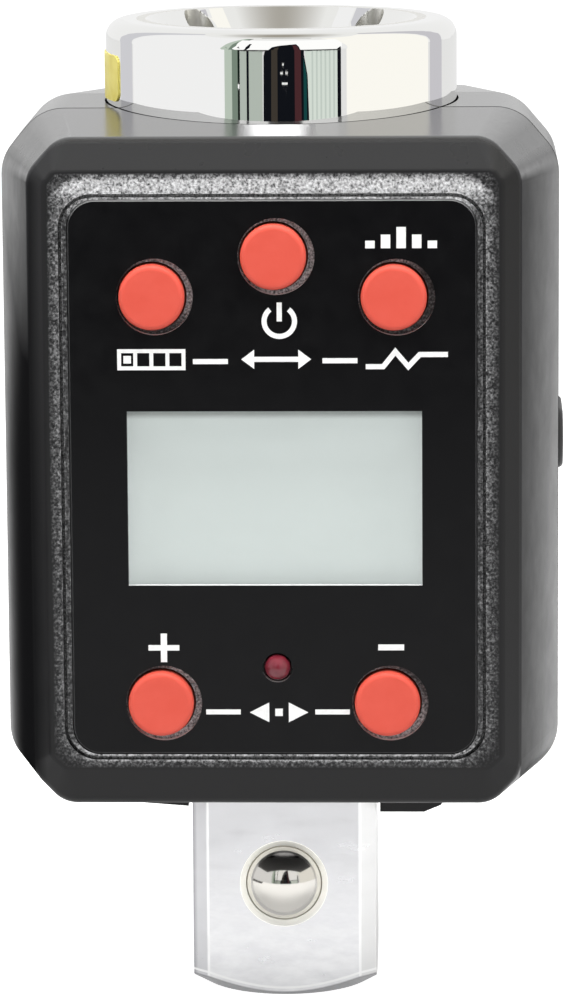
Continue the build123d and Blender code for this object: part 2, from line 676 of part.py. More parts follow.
with BuildPart() as zebra_strips:
    strip_shift = (LCD_HEIGHT - ZEBRA_THICKNESS) / 2
    strip_width = pocket_width - 2 * LCD_LEDGE - 2 * LCD_GAP
    for side in (-1, 1):
        strip_centre = (0, WINDOW_CENTRE_Z + side * strip_shift)
        plate(LCD_BACK_Y, BOARD_FRONT_Y, strip_width, ZEBRA_THICKNESS, strip_centre)
save(zebra_strips.part, "zebra_strips")

# Main board, held on the front shell's posts, and what is soldered to it
with BuildPart() as main_board:
    board_centre = (0, (BOARD_BOTTOM + BOARD_TOP) / 2)
    plate(BOARD_FRONT_Y, BOARD_BACK_Y, BOARD_WIDTH, BOARD_TOP - BOARD_BOTTOM, board_centre)
    rods(
        BOARD_FRONT_Y, BOARD_BACK_Y, BOSS_DIAMETER + 2 * BOARD_GAP, SCREW_PLACES, mode=Mode.SUBTRACT,
    )
    rods(
        BOARD_FRONT_Y, BOARD_BACK_Y, BOARD_SCREW_DIAMETER + 2 * SCREW_GAP, POST_PLACES,
        mode=Mode.SUBTRACT,
    )
save(main_board.part, "main_board")

with BuildPart() as board_screws:
    rods(BOARD_BACK_Y, BOARD_BACK_Y + BOARD_SCREW_HEAD_HEIGHT, BOARD_SCREW_HEAD, POST_PLACES)
    rods(BOARD_BACK_Y - BOARD_SCREW_LENGTH, BOARD_BACK_Y, BOARD_SCREW_DIAMETER, POST_PLACES)
save(board_screws.part, "board_screws")

with BuildPart() as key_switches:
    well_floor_y = SWITCH_FRONT_Y + KEY_STEM_ENTRY + KEY_TRAVEL + KEY_GAP
    for place in KEY_CENTRES:
        plate(SWITCH_FRONT_Y, BOARD_FRONT_Y, SWITCH_SIZE, SWITCH_SIZE, place)
    rods(SWITCH_FRONT_Y, well_floor_y, SWITCH_WELL_DIAMETER, KEY_CENTRES, mode=Mode.SUBTRACT)
save(key_switches.part, "key_switches")

with BuildPart() as board_chips:
    plate(BOARD_BACK_Y, BOARD_BACK_Y + CHIP_HEIGHT, CHIP_SIZE, CHIP_SIZE, CHIP_PLACE)
    plate(BOARD_BACK_Y, BOARD_BACK_Y + CHIP_HEIGHT, AMPLIFIER_SIZE, AMPLIFIER_SIZE, AMPLIFIER_PLACE)
    flex_socket_place = (0, FLEX_SOCKET_Z)
    plate(
        BOARD_BACK_Y, BOARD_BACK_Y + CHIP_HEIGHT, FLEX_SOCKET_WIDTH, FLEX_SOCKET_HEIGHT, flex_socket_place,
    )
save(board_chips.part, "board_chips")

with BuildPart() as buzzer:
    buzzer_back_y = BOARD_BACK_Y + BUZZER_HEIGHT
    rods(BOARD_BACK_Y, buzzer_back_y, BUZZER_DIAMETER, [BUZZER_PLACE])
    chamfer(edges_at(buzzer, buzzer_back_y), BUZZER_CHAMFER)
    rods(buzzer_back_y - BUZZER_HEIGHT / 2, buzzer_back_y, BUZZER_HOLE, [BUZZER_PLACE], Mode.SUBTRACT)
save(buzzer.part, "buzzer")

with BuildPart() as status_led:
    led_tip_y = FRONT_Y - LED_PROUD
    led_radius = LED_DIAMETER / 2
    rods(INNER_Y + KEY_GAP, BOARD_FRONT_Y, LED_BASE_DIAMETER, [LED_PLACE])
    rods(led_tip_y + led_radius, INNER_Y + KEY_GAP, LED_DIAMETER, [LED_PLACE])
    with Locations((LED_PLACE[0], led_tip_y + led_radius, LED_PLACE[1])):
        Sphere(led_radius)
save(status_led.part, "status_led")

# Ribbon from the front strain gauge to its socket on the board
with BuildPart() as gauge_flex:
    flex_y = -(flat_y + 2 * GAUGE_THICKNESS + FLEX_THICKNESS / 2)
    socket_y = BOARD_BACK_Y + CHIP_HEIGHT / 2
    socket_z = FLEX_SOCKET_Z + FLEX_SOCKET_HEIGHT / 2
    with BuildSketch(Plane.YZ.offset(-FLEX_WIDTH / 2)) as ribbon:
        with BuildLine() as ribbon_path:
            FilletPolyline(
                (flex_y, FLEX_TOP), (flex_y, FLEX_BEND_Z), (socket_y, FLEX_BEND_Z), (socket_y, socket_z),
                radius=FLEX_BEND_RADIUS,
            )
        trace(ribbon_path.edges(), FLEX_THICKNESS)
    extrude(amount=FLEX_WIDTH)
save(gauge_flex.part, "gauge_flex")

# Keys: a round cap, a flange behind the panel and a stem that presses a switch
for name, place in KEY_PLACES.items():
    with BuildPart() as key:
        face_y = FRONT_Y - KEY_PROUD
        flange_y = INNER_Y + KEY_GAP
        rods(face_y, flange_y, KEY_DIAMETER, [place])
        fillet(edges_at(key, face_y), KEY_EDGE_RADIUS)
        rods(flange_y, flange_y + KEY_FLANGE, KEY_DIAMETER + 2 * KEY_FLANGE_RIM, [place])
        rods(flange_y + KEY_FLANGE, SWITCH_FRONT_Y + KEY_STEM_ENTRY, KEY_STEM_DIAMETER, [place])
    save(key.part, name)

# Battery cover: a T-shaped slide that closes the cell's bay, with grooves for a thumb
BACK_STATIONS = [
    (SEAM_Y, shrunk(SEAM, SEAM_CHAMFER)), (SEAM_Y + SEAM_CHAMFER, SEAM), (CROWN_Y, CROWN),
    (BACK_EDGE_Y, BACK_EDGE), (BACK_Y, shrunk(BACK_EDGE, BACK_BEVEL)),
]


def cover_profile(gap, mode=Mode.ADD):
    """T-shaped bar that the cover slides in, widened by a gap on every side."""
    top = COVER_TOP + gap
    outer_side = COVER_HALF_WIDTH + gap
    tongue_side = COVER_HALF_WIDTH + COVER_TONGUE + gap
    block((-outer_side, COVER_INNER_Y - gap, 0), (outer_side, BACK_Y + gap, top), mode)
    block((-tongue_side, COVER_INNER_Y - gap, 0), (tongue_side, TONGUE_BACK_Y + gap, top), mode)


with BuildPart() as cover_bar:
    cover_profile(0)

with BuildPart() as battery_cover:
    loft_outlines(BACK_STATIONS)
    fillet(edges_at(battery_cover, BACK_EDGE_Y) + edges_at(battery_cover, BACK_Y), BACK_EDGE_RADIUS)
    add(cover_bar.part, mode=Mode.INTERSECT)
    grip_low = COVER_TOP - GRIP_DROP - GRIP_PITCH * (GRIP_GROOVES - 1) / 2
    for step in range(GRIP_GROOVES):
        plate(
            BACK_Y - GRIP_DEPTH, BACK_Y, GRIP_WIDTH, GRIP_PITCH / 2, (0, grip_low + step * GRIP_PITCH),
            mode=Mode.SUBTRACT,
        )
save(battery_cover.part, "battery_cover")

# Hollow of the back shell, less the columns, ribs, cup and ledge that stand in it
with BuildPart() as back_hollow:
    inner_back_y = BACK_Y - WALL
    loft_outlines([
        (SEAM_Y, shrunk(SEAM, WALL)), (CROWN_Y, shrunk(CROWN, WALL)),
        (inner_back_y, shrunk(back_outline(inner_back_y), WALL)),
    ])
    wide = SEAM.half_width
    rods(SEAM_Y, BACK_Y, COLUMN_DIAMETER, SCREW_PLACES, mode=Mode.SUBTRACT)
    rods(CUP_BACK_Y, BACK_Y, CUP_DIAMETER + 2 * CUP_WALL, [(0, CELL_CENTRE_Z)], mode=Mode.SUBTRACT)
    rail_side = COVER_HALF_WIDTH + COVER_TONGUE + COVER_FLOOR
    rail_top = COVER_TOP + COVER_FLOOR
    block((-rail_side, COVER_FLOOR_Y - COVER_FLOOR, 0), (rail_side, BACK_Y, rail_top), Mode.SUBTRACT)
    block((-wide, SEAM_Y, SADDLE_BOTTOM), (wide, BACK_Y, SADDLE_TOP), Mode.SUBTRACT)
    disc(SEAM.bottom, SEAT_TOP, SEAT_DIAMETER, mode=Mode.SUBTRACT)
    rib_x = LAND_FLATS / 2 + SADDLE_GAP
    for low_x in (rib_x, -rib_x - KEY_RIB_THICKNESS):
        high_x = low_x + KEY_RIB_THICKNESS
        block(
            (low_x, -KEY_RIB_HALF_DEPTH, SEAM.bottom), (high_x, KEY_RIB_HALF_DEPTH, LAND_TOP),
            Mode.SUBTRACT,
        )
    disc(SEAT_TOP, LAND_BOTTOM, LAND_DIAMETER)
    ledge_front = PORT_Y - PORT_BOARD_WIDTH / 2
    block(
        (PORT_BOARD_X + PORT_DEPTH, ledge_front, PORT_BOARD_BOTTOM - WALL / 2),
        (wide, ledge_front + PORT_BOARD_WIDTH, PORT_BOARD_BOTTOM), Mode.SUBTRACT,
    )

with BuildPart() as back_shell:
    loft_outlines(BACK_STATIONS)
    fillet(edges_at(back_shell, BACK_EDGE_Y) + edges_at(back_shell, BACK_Y), BACK_EDGE_RADIUS)
    add(back_hollow.part, mode=Mode.SUBTRACT)
    seam_ring(LIP_INSET, WALL, LIP_HEIGHT)
    # Low rib under the housing
    with BuildSketch(layer(RIB_FRONT_Y + RIB_THICKNESS)):
        drive_side = DRIVE / 2 + SHAFT_GAP
        rib_top = SEAM.bottom + WALL / 2
        with BuildLine():
            Polyline(
                (drive_side, rib_top), (drive_side, RIB_LOW), (RIB_RIGHT - RIB_SLANT, RIB_LOW),
                (RIB_RIGHT, RIB_LOW + RIB_SLANT_HEIGHT), (RIB_RIGHT + RIB_END, rib_top), close=True,
            )
        make_face()
        with BuildLine():
            Polyline(
                (-drive_side, rib_top), (-drive_side, RIB_LEFT_LOW),
                (RIB_SLANT - RIB_LEFT, RIB_LEFT_LOW + RIB_SLANT_HEIGHT), (-RIB_LEFT, rib_top), close=True,
            )
        make_face()
    extrude(amount=RIB_THICKNESS)
    # Bay for the battery cover and the cell
    cover_profile(COVER_GAP, mode=Mode.SUBTRACT)
    rods(CUP_FLOOR_Y, COVER_FLOOR_Y, CUP_DIAMETER, [(0, CELL_CENTRE_Z)], mode=Mode.SUBTRACT)
    contact_side = CONTACT_WIDTH / 2 + CONTACT_GAP
    contact_top = CONTACT_Z + CONTACT_THICKNESS + CONTACT_GAP
    block(
        (-contact_side, CUP_BACK_Y, CELL_CENTRE_Z + CELL_DIAMETER / 2 - CUP_WALL),
        (contact_side, COVER_FLOOR_Y, contact_top), Mode.SUBTRACT,
    )
    # Screw holes, with deep counterbores from the back
    screw_hole = SCREW_DIAMETER + 2 * SCREW_CLEARANCE
    counterbore = SCREW_HEAD_DIAMETER + 2 * SCREW_CLEARANCE
    rods(SEAM_Y - LIP_HEIGHT, SCREW_SEAT_Y, screw_hole, SCREW_PLACES, mode=Mode.SUBTRACT)
    rods(SCREW_SEAT_Y, BACK_Y, counterbore, SCREW_PLACES, mode=Mode.SUBTRACT)
    # Openings for the shaft
    disc(SADDLE_TOP, CROWN.top + WALL, MOUTH_DIAMETER, mode=Mode.SUBTRACT)
    disc(SADDLE_BOTTOM, SADDLE_TOP, NECK_DIAMETER + 2 * SADDLE_GAP, mode=Mode.SUBTRACT)
    disc(SEAM.bottom, SEAT_TOP, DRIVE_HOLE_DIAMETER, mode=Mode.SUBTRACT)
    # Opening and pocket for the data port's plug
    plug_floor_x = PLUG_OUTER_X - PLUG_FLANGE - PLUG_GAP / 2
    slot_prism(
        PORT_MOUTH_X, plug_floor_x, PLUG_NECK_WIDTH + 2 * PLUG_GAP, PLUG_NECK_HEIGHT + 2 * PLUG_GAP,
        mode=Mode.SUBTRACT,
    )
    slot_prism(
        plug_floor_x, PLUG_OUTER_X, PLUG_WIDTH + 2 * PLUG_GAP, PLUG_HEIGHT + 2 * PLUG_GAP,
        mode=Mode.SUBTRACT,
    )
save(back_shell.part, "back_shell")

with BuildPart() as case_screws:
    head_back_y = SCREW_SEAT_Y + SCREW_HEAD_HEIGHT
    rods(SCREW_SEAT_Y, head_back_y, SCREW_HEAD_DIAMETER, SCREW_PLACES)
    chamfer(edges_at(case_screws, head_back_y), SCREW_HEAD_CHAMFER)
    rods(SCREW_TIP_Y, SCREW_SEAT_Y, SCREW_DIAMETER, SCREW_PLACES)
    chamfer(edges_at(case_screws, SCREW_TIP_Y), SCREW_DIAMETER / 4)
save(case_screws.part, "case_screws")

# Coin cell and its two contacts
with BuildPart() as coin_cell:
    cell_place = [(0, CELL_CENTRE_Z)]
    rods(CELL_FRONT_Y + CELL_CAP_HEIGHT, CELL_BACK_Y, CELL_DIAMETER, cell_place)
    chamfer(coin_cell.edges().filter_by(GeomType.CIRCLE), CELL_EDGE_CHAMFER)
    cap_diameter = CELL_DIAMETER - 2 * CELL_CAP_INSET
    rods(CELL_FRONT_Y, CELL_FRONT_Y + CELL_CAP_HEIGHT, cap_diameter, cell_place)
save(coin_cell.part, "coin_cell")

with BuildPart() as positive_contact:
    block(
        (-CONTACT_WIDTH / 2, CUP_BACK_Y - CONTACT_REACH, CONTACT_Z),
        (CONTACT_WIDTH / 2, COVER_FLOOR_Y, CONTACT_Z + CONTACT_THICKNESS),
    )
save(positive_contact.part, "positive_contact")

with BuildPart() as negative_contact:
    ring_low, ring_high = CUP_FLOOR_Y, CELL_FRONT_Y
    with BuildSketch(level(CELL_CENTRE_Z)) as section:
        with BuildLine():
            Polyline(
                (CONTACT_WIDTH, ring_low), (CONTACT_WIDTH, ring_low + CONTACT_THICKNESS / 2),
                (CONTACT_WIDTH / 2, ring_high), (CONTACT_WIDTH / 4, ring_high),
                (CONTACT_WIDTH / 4, ring_high - CONTACT_THICKNESS / 2),
                (CONTACT_WIDTH / 2, ring_high - CONTACT_THICKNESS / 2),
                (CONTACT_WIDTH - CONTACT_THICKNESS, ring_low), close=True,
            )
        make_face()
    revolve(section.sketch, axis=Axis((0, 0, CELL_CENTRE_Z), (0, 1, 0)))
save(negative_contact.part, "negative_contact")


def lead(points, z):
    """Insulated wire at one height, through (x, y) points."""
    with BuildLine(level(z)) as path:
        FilletPolyline(*points, radius=LEAD_BEND_RADIUS)
    with BuildSketch(Plane(origin=path.line @ 0, z_dir=path.line % 0)) as section:
        Circle(LEAD_DIAMETER / 2)
    sweep(section.sketch, path=path.line)


with BuildPart() as battery_leads:
    positive_start_y = CUP_BACK_Y - CONTACT_REACH
    turn_y = GAUGE_DIAMETER / 2 + 3 * LEAD_DIAMETER
    side_y = LEAD_CLEAR_X / 2
    lead(
        [
            (0, positive_start_y), (0, turn_y), (LEAD_CLEAR_X, side_y), (LEAD_CLEAR_X, BOARD_BACK_Y),
        ],
        CONTACT_Z + CONTACT_THICKNESS / 2,
    )
    negative_x, negative_z = NEGATIVE_LEAD_PLACE
    lead(
        [
            (negative_x, CUP_BACK_Y), (negative_x, turn_y), (-LEAD_CLEAR_X, side_y),
            (-LEAD_CLEAR_X, BOARD_BACK_Y),
        ],
        negative_z,
    )
save(battery_leads.part, "battery_leads")

# Data port on its own small board, and the rubber plug that closes it
with BuildPart() as port_board:
    board_front = PORT_Y - PORT_BOARD_WIDTH / 2
    block(
        (PORT_BOARD_X, board_front, PORT_BOARD_BOTTOM),
        (PORT_MOUTH_X - PLUG_GAP, board_front + PORT_BOARD_WIDTH, PORT_BOARD_TOP),
    )
save(port_board.part, "port_board")

with BuildPart() as data_port:
    port_back_x = PORT_MOUTH_X - PORT_DEPTH
    hollow_width, hollow_height = PORT_WIDTH - 2 * PORT_SHELL, PORT_HEIGHT - 2 * PORT_SHELL
    slot_prism(port_back_x, PORT_MOUTH_X, PORT_WIDTH, PORT_HEIGHT)
    slot_prism(port_back_x + PORT_SHELL, PORT_MOUTH_X, hollow_width, hollow_height, Mode.SUBTRACT)
    tongue_side = hollow_width / 2 - PORT_HEIGHT / 2
    tongue_front_x = PORT_MOUTH_X - PLUG_REACH - 2 * PORT_SHELL
    block(
        (port_back_x, PORT_Y - tongue_side, PORT_Z - PORT_TONGUE / 2),
        (tongue_front_x, PORT_Y + tongue_side, PORT_Z + PORT_TONGUE / 2),
    )
save(data_port.part, "data_port")

with BuildPart() as port_plug:
    flange_x = PLUG_OUTER_X - PLUG_FLANGE
    slot_prism(flange_x, PLUG_OUTER_X, PLUG_WIDTH, PLUG_HEIGHT)
    fillet(port_plug.faces().sort_by(Axis.X)[-1].edges(), PLUG_EDGE_RADIUS)
    slot_prism(PORT_MOUTH_X + PLUG_GAP, flange_x, PLUG_NECK_WIDTH, PLUG_NECK_HEIGHT)
    slot_prism(
        PORT_MOUTH_X - PLUG_REACH, PORT_MOUTH_X + PLUG_GAP,
        hollow_width - 2 * PLUG_GAP, hollow_height - 2 * PLUG_GAP,
    )
save(port_plug.part, "port_plug")

# Calibration sticker, bent round the collar
with BuildPart() as calibration_sticker:
    sticker_top = COLLAR_TOP - STICKER_DROP
    disc(sticker_top - STICKER_HEIGHT, sticker_top, COLLAR_DIAMETER + 2 * STICKER_THICKNESS)
    disc(sticker_top - STICKER_HEIGHT, sticker_top, COLLAR_DIAMETER, mode=Mode.SUBTRACT)
    with BuildSketch(Plane.YZ.offset(-COLLAR_DIAMETER)):
        with Locations((0, sticker_top - STICKER_HEIGHT / 2)):
            RectangleRounded(STICKER_WIDTH, STICKER_HEIGHT, STICKER_RADIUS)
    extrude(amount=COLLAR_DIAMETER, mode=Mode.INTERSECT)
save(calibration_sticker.part, "calibration_sticker")
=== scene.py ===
import json
from math import cos, radians, sin

import bmesh
import bpy
from mathutils import Matrix, Vector


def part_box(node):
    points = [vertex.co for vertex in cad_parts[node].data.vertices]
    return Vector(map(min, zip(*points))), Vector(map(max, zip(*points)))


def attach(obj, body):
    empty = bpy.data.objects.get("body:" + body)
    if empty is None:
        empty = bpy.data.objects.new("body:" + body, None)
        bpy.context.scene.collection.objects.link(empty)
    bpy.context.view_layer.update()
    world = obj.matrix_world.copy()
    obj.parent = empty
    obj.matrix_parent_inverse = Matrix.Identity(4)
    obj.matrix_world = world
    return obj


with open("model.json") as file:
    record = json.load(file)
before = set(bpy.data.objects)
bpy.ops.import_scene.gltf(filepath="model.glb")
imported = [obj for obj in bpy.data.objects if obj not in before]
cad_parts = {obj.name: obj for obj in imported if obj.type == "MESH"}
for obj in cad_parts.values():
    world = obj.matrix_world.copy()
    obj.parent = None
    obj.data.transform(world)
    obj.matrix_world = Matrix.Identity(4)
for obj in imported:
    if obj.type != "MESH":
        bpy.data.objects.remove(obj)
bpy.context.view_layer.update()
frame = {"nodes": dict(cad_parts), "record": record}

MM = 0.001
NODES = frame["nodes"]
SUBPARTS = frame["record"]["subparts"]

# Where the camera stands: angles round the object, and its distance from the middle of the shaft
CAMERA_AZIMUTH = 2.0
CAMERA_ELEVATION = 10.0
CAMERA_ROLL = -0.4
CAMERA_DISTANCE = 360 * MM
CAMERA_TARGET = Vector((0, 0, 33.94 * MM))
CAMERA_LENS = 186.5
CAMERA_SENSOR = 36.0


def middle_of(node, axis):
    """Middle of a CAD node along one axis, in millimetres."""
    low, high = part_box(node)
    return (low[axis] + high[axis]) / 2 / MM


def half_of(node, axis):
    """Half the size of a CAD node along one axis, in millimetres."""
    low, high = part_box(node)
    return (high[axis] - low[axis]) / 2 / MM


# Places on the shaft, in millimetres
SHAFT_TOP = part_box("torque_shaft")[1][2] / MM
DRIVE_SHARE = 0.3  # part of the shaft's length below which it is satin
LEAD_IN_RADIUS = 9.2  # round the female square
LEAD_IN_SLOPE = 1.07
RELIEF_REACH = 9.9  # from the axis to the far side of the square's relieved corners
SOCKET_DEPTH = 16.0
BALL_Z = middle_of("detent_ball", 2)
BALL_SINK_RADIUS = 3.03
DRIVE_FRONT_Y = -5.0  # the ring round the ball lies in front of this
DRIVE_FLAT_HALF = 5.27  # from the drive's middle to where its flats meet the turned corners
DRIVE_TURN_HALF = 6.05  # to where a turned corner starts to face away
DRIVE_END_RADIUS = 6.0  # of the flat middle of the drive's end, and the slope round it
DRIVE_END_SLOPE = 0.578
DRIVE_END_HIGHLIGHT = 0.36  # height of the painted highlight line over the end's edge
DRIVE_PAINTED_SHADE = (3.5, 11.0)  # heights between which painted shade makes the drive's front darker towards the housing

# Places on the housing and the display, in millimetres
BEVEL_HALF = 16.27  # from the middle to where a side face starts at the bevel
WIDEST_HALF = half_of("back_shell", 0)
FLAT_FRONT_Y = -17.0  # the grained flat of the front lies in front of this
SIDE_FALL = (38.0, 48.0)  # heights between which the left side's painted dark stretch gets narrower
SIDE_PAINTED_LIGHT = (46.0, 56.0)  # heights between which painted light from above reaches the left side
DISPLAY_TOP = 43.0
DISPLAY_PAINTED_SHADOW = 0.5  # height of the painted shadow along the display's upper edge

# Field inside the groove round the panel, in millimetres
GROOVE_SIDE = 0.58  # from the label's side to the groove's outer edge
GROOVE_END = 0.40
GROOVE_RADIUS = 2.2
PANEL_X = middle_of("face_label", 0)
PANEL_Z = middle_of("face_label", 2)
PANEL_HALF_X = half_of("face_label", 0) + GROOVE_SIDE
PANEL_HALF_Z = half_of("face_label", 2) + GROOVE_END

# Print on the label
PRINT_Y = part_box("face_label")[0][1]
PRINT_THICKNESS = 0.02 * MM
INK = 0.34  # usual width of a printed stroke, in millimetres
THIN_INK = 0.26
DASH_WIDTH = 2.3
ARC_STEPS = 28


def rgb(red, green, blue):
    """Colour for a shader socket, from linear parts."""
    return (red, green, blue, 1.0)


BLACK = rgb(0, 0, 0)


class Shader:
    """Node material around one principled shader."""

    def __init__(self, name, colour, roughness, **sockets):
        self.material = bpy.data.materials.new(name)
        self.material.use_nodes = True
        self.tree = self.material.node_tree
        self.principled = self.tree.nodes["Principled BSDF"]
        self.output = self.tree.nodes["Material Output"]
        self.give("Base Color", colour)
        self.give("Roughness", roughness)
        for socket, value in sockets.items():
            self.give(socket.replace("_", " "), value)

    def set(self, node, socket, value):
        """Give a node's socket a number, a colour or a link."""
        target = node.inputs[socket]
        if isinstance(value, bpy.types.NodeSocket):
            self.tree.links.new(value, target)
        else:
            target.default_value = value

    def give(self, socket, value):
        """Give a socket of the principled shader a number, a colour or a link."""
        self.set(self.principled, socket, value)

    def add(self, kind, **inputs):
        """Add a node and fill its sockets, which are named by label or by number."""
        node = self.tree.nodes.new(kind)
        for socket, value in inputs.items():
            numbered = socket[0] == "n" and socket[1:].isdigit()
            self.set(node, int(socket[1:]) if numbered else socket, value)
        return node

    def scaled(self, factors):
        """Place on the object, times a factor along each axis."""
        coordinates = self.add("ShaderNodeTexCoord")
        node = self.add("ShaderNodeVectorMath", n0=coordinates.outputs["Object"], n1=factors)
        node.operation = "MULTIPLY"
        return node.outputs[0]

    def place(self):
        """Place on the object, in millimetres."""
        return self.scaled((1 / MM, 1 / MM, 1 / MM))

    def axis(self, index):
        """One part of the place on the object, in millimetres."""
        return self.add("ShaderNodeSeparateXYZ", n0=self.place()).outputs[index]

    def normal(self, index):
        """One part of the surface's own normal."""
        coordinates = self.add("ShaderNodeTexCoord")
        return self.add("ShaderNodeSeparateXYZ", n0=coordinates.outputs["Normal"]).outputs[index]

    def maths(self, operation, first, second=0.0):
        """One operation on two values."""
        node = self.add("ShaderNodeMath", n0=first, n1=second)
        node.operation = operation
        return node.outputs[0]

    # Short names for single operations
    def plus(self, first, second):
        return self.maths("ADD", first, second)

    def minus(self, first, second):
        return self.maths("SUBTRACT", first, second)

    def times(self, first, second):
        return self.maths("MULTIPLY", first, second)

    def power(self, first, second):
        return self.maths("POWER", first, second)

    def larger(self, first, second):
        return self.maths("MAXIMUM", first, second)

    def smaller(self, first, second):
        return self.maths("MINIMUM", first, second)

    def length(self, first, second):
        """Length of the line whose two parts are given."""
        return self.maths("SQRT", self.plus(self.power(first, 2.0), self.power(second, 2.0)))

    def off(self, value, middle=0.0):
        """How far a value lies from a middle, to either side."""
        return self.maths("ABSOLUTE", self.minus(value, middle))

    def radius(self, first, second, middle=0.0):
        """Distance from an axis across two directions, the second measured from a middle."""
        return self.length(self.axis(first), self.minus(self.axis(second), middle))

    def ramp(self, value, low, high, start=0.0, end=1.0):
        """Map a range of values onto another, held at both ends."""
        return self.add("ShaderNodeMapRange", n0=value, n1=low, n2=high, n3=start, n4=end).outputs[0]

    def facing_front(self):
        """1 on surfaces that face straight to the front, 0 elsewhere."""
        return self.ramp(self.normal(1), -0.995, -0.97, 1.0, 0.0)

    def noise(self, scale, detail=2.0, rough=0.5, vector=None):
        """Noise with features per millimetre."""
        node = self.add("ShaderNodeTexNoise", Scale=scale, Detail=detail, Roughness=rough)
        self.set(node, "Vector", vector or self.place())
        return node.outputs["Fac"]

    def vary(self, scale, detail, start=0.0, end=1.0, rough=0.5):
        """Value that drifts between two over the surface."""
        return self.ramp(self.noise(scale, detail, rough), 0.3, 0.7, start, end)

    def mottle(self, scale, detail, first, second):
        """Let the colour drift between two over the surface."""
        self.give("Base Color", self.mix(self.vary(scale, detail), first, second))

    def lerp(self, share, first, second):
        """Value a share of the way from the first to the second."""
        node = self.add("ShaderNodeMix", n0=share, n2=first, n3=second)
        return node.outputs[0]

    def mix(self, share, first, second):
        """Mix two colours."""
        node = self.tree.nodes.new("ShaderNodeMix")
        node.data_type = "RGBA"
        for index, value in ((0, share), (6, first), (7, second)):
            self.set(node, index, value)
        return node.outputs[2]

    def roughen(self, height, distance, strength):
        """Bump the surface by a height between 0 and 1, over a distance in millimetres."""
        node = self.add("ShaderNodeBump", Height=height, Distance=distance * MM, Strength=strength)
        self.give("Normal", node.outputs[0])

    def blend(self, share, first, second):
        """Show one shader where the share is 0 and another where it is 1."""
        node = self.add("ShaderNodeMixShader", n0=share, n1=first.outputs[0], n2=second.outputs[0])
        self.set(self.output, "Surface", node.outputs[0])


def painted_grain_light(shader):
    """Painted light on the grain of the front: how bright its specks are, set by place, most above the
    panel, least under it.
    """
    past_side = shader.minus(shader.off(shader.axis(0), PANEL_X), PANEL_HALF_X)
    past_end = shader.minus(shader.off(shader.axis(2), PANEL_Z), PANEL_HALF_Z)
    round_side = shader.larger(shader.plus(past_side, GROOVE_RADIUS), 0.0)
    round_end = shader.larger(shader.plus(past_end, GROOVE_RADIUS), 0.0)
    past = shader.minus(shader.length(round_side, round_end), GROOVE_RADIUS)
    height = shader.minus(shader.axis(2), PANEL_Z)
    # Painted light on the flat beside the panel, brighter the higher, and above it, both fading away from
    # the groove
    rise = shader.ramp(height, -PANEL_HALF_Z, PANEL_HALF_Z, 0.37, 0.60)
    side = shader.times(rise, shader.ramp(past, 0.0, 1.0, 1.0, 0.2))
    corner = shader.ramp(past_side, 0.3, 0.9, 1.0, 0.5)
    top = shader.times(shader.ramp(past, 0.9, 1.45, 1.0, 0.2), corner)
    above = shader.ramp(height, PANEL_HALF_Z - 0.9, PANEL_HALF_Z + 0.2)
    flat = shader.lerp(above, side, top)
    # Painted highlight along a thin lip under the panel
    below = shader.ramp(height, -PANEL_HALF_Z + 0.3, -PANEL_HALF_Z)
    lip = shader.times(below, shader.ramp(past, 0.04, 0.2, 0.45, 0.0))
    # Painted light on the strip between the groove and the label, brighter along its upper and lower ends
    inside = shader.ramp(past, -0.3, -0.2, 1.0, 0.0)
    end = shader.ramp(shader.minus(past_end, past_side), -1.2, 1.2)
    strip = shader.lerp(end, 0.30, 0.85)
    return shader.lerp(inside, shader.plus(flat, lip), strip)


def side_painted_shade_and_light(shader):
    """Painted shade and light on the sides: how much of the gloss they keep, little beside the bevel, all
    of it along the widest line.
    """
    across = shader.axis(0)
    off = shader.off(across)
    out = shader.ramp(off, BEVEL_HALF, WIDEST_HALF)
    # Left side: a painted dark stretch beside the bevel, narrower higher up, with painted light from
    # above over it
    fall = shader.ramp(shader.axis(2), *SIDE_FALL, 6.5, 2.5)
    left = shader.plus(shader.power(out, fall), shader.ramp(off, BEVEL_HALF - 0.9, BEVEL_HALF, 1.0, 0.0))
    lit = shader.times(shader.ramp(shader.axis(2), *SIDE_PAINTED_LIGHT), shader.ramp(out, 0.0, 1.0, 0.35, 1.0))
    left = shader.larger(left, lit)
    # Right side: painted shade, a quarter of the gloss beside the bevel, growing outwards
    right = shader.ramp(shader.power(out, 1.5), 0.0, 1.0, 0.25, 1.0)
    right = shader.lerp(shader.ramp(off, BEVEL_HALF - 0.1, BEVEL_HALF), 1.0, right)
    return shader.lerp(shader.ramp(across, -1.0, 1.0), left, right)


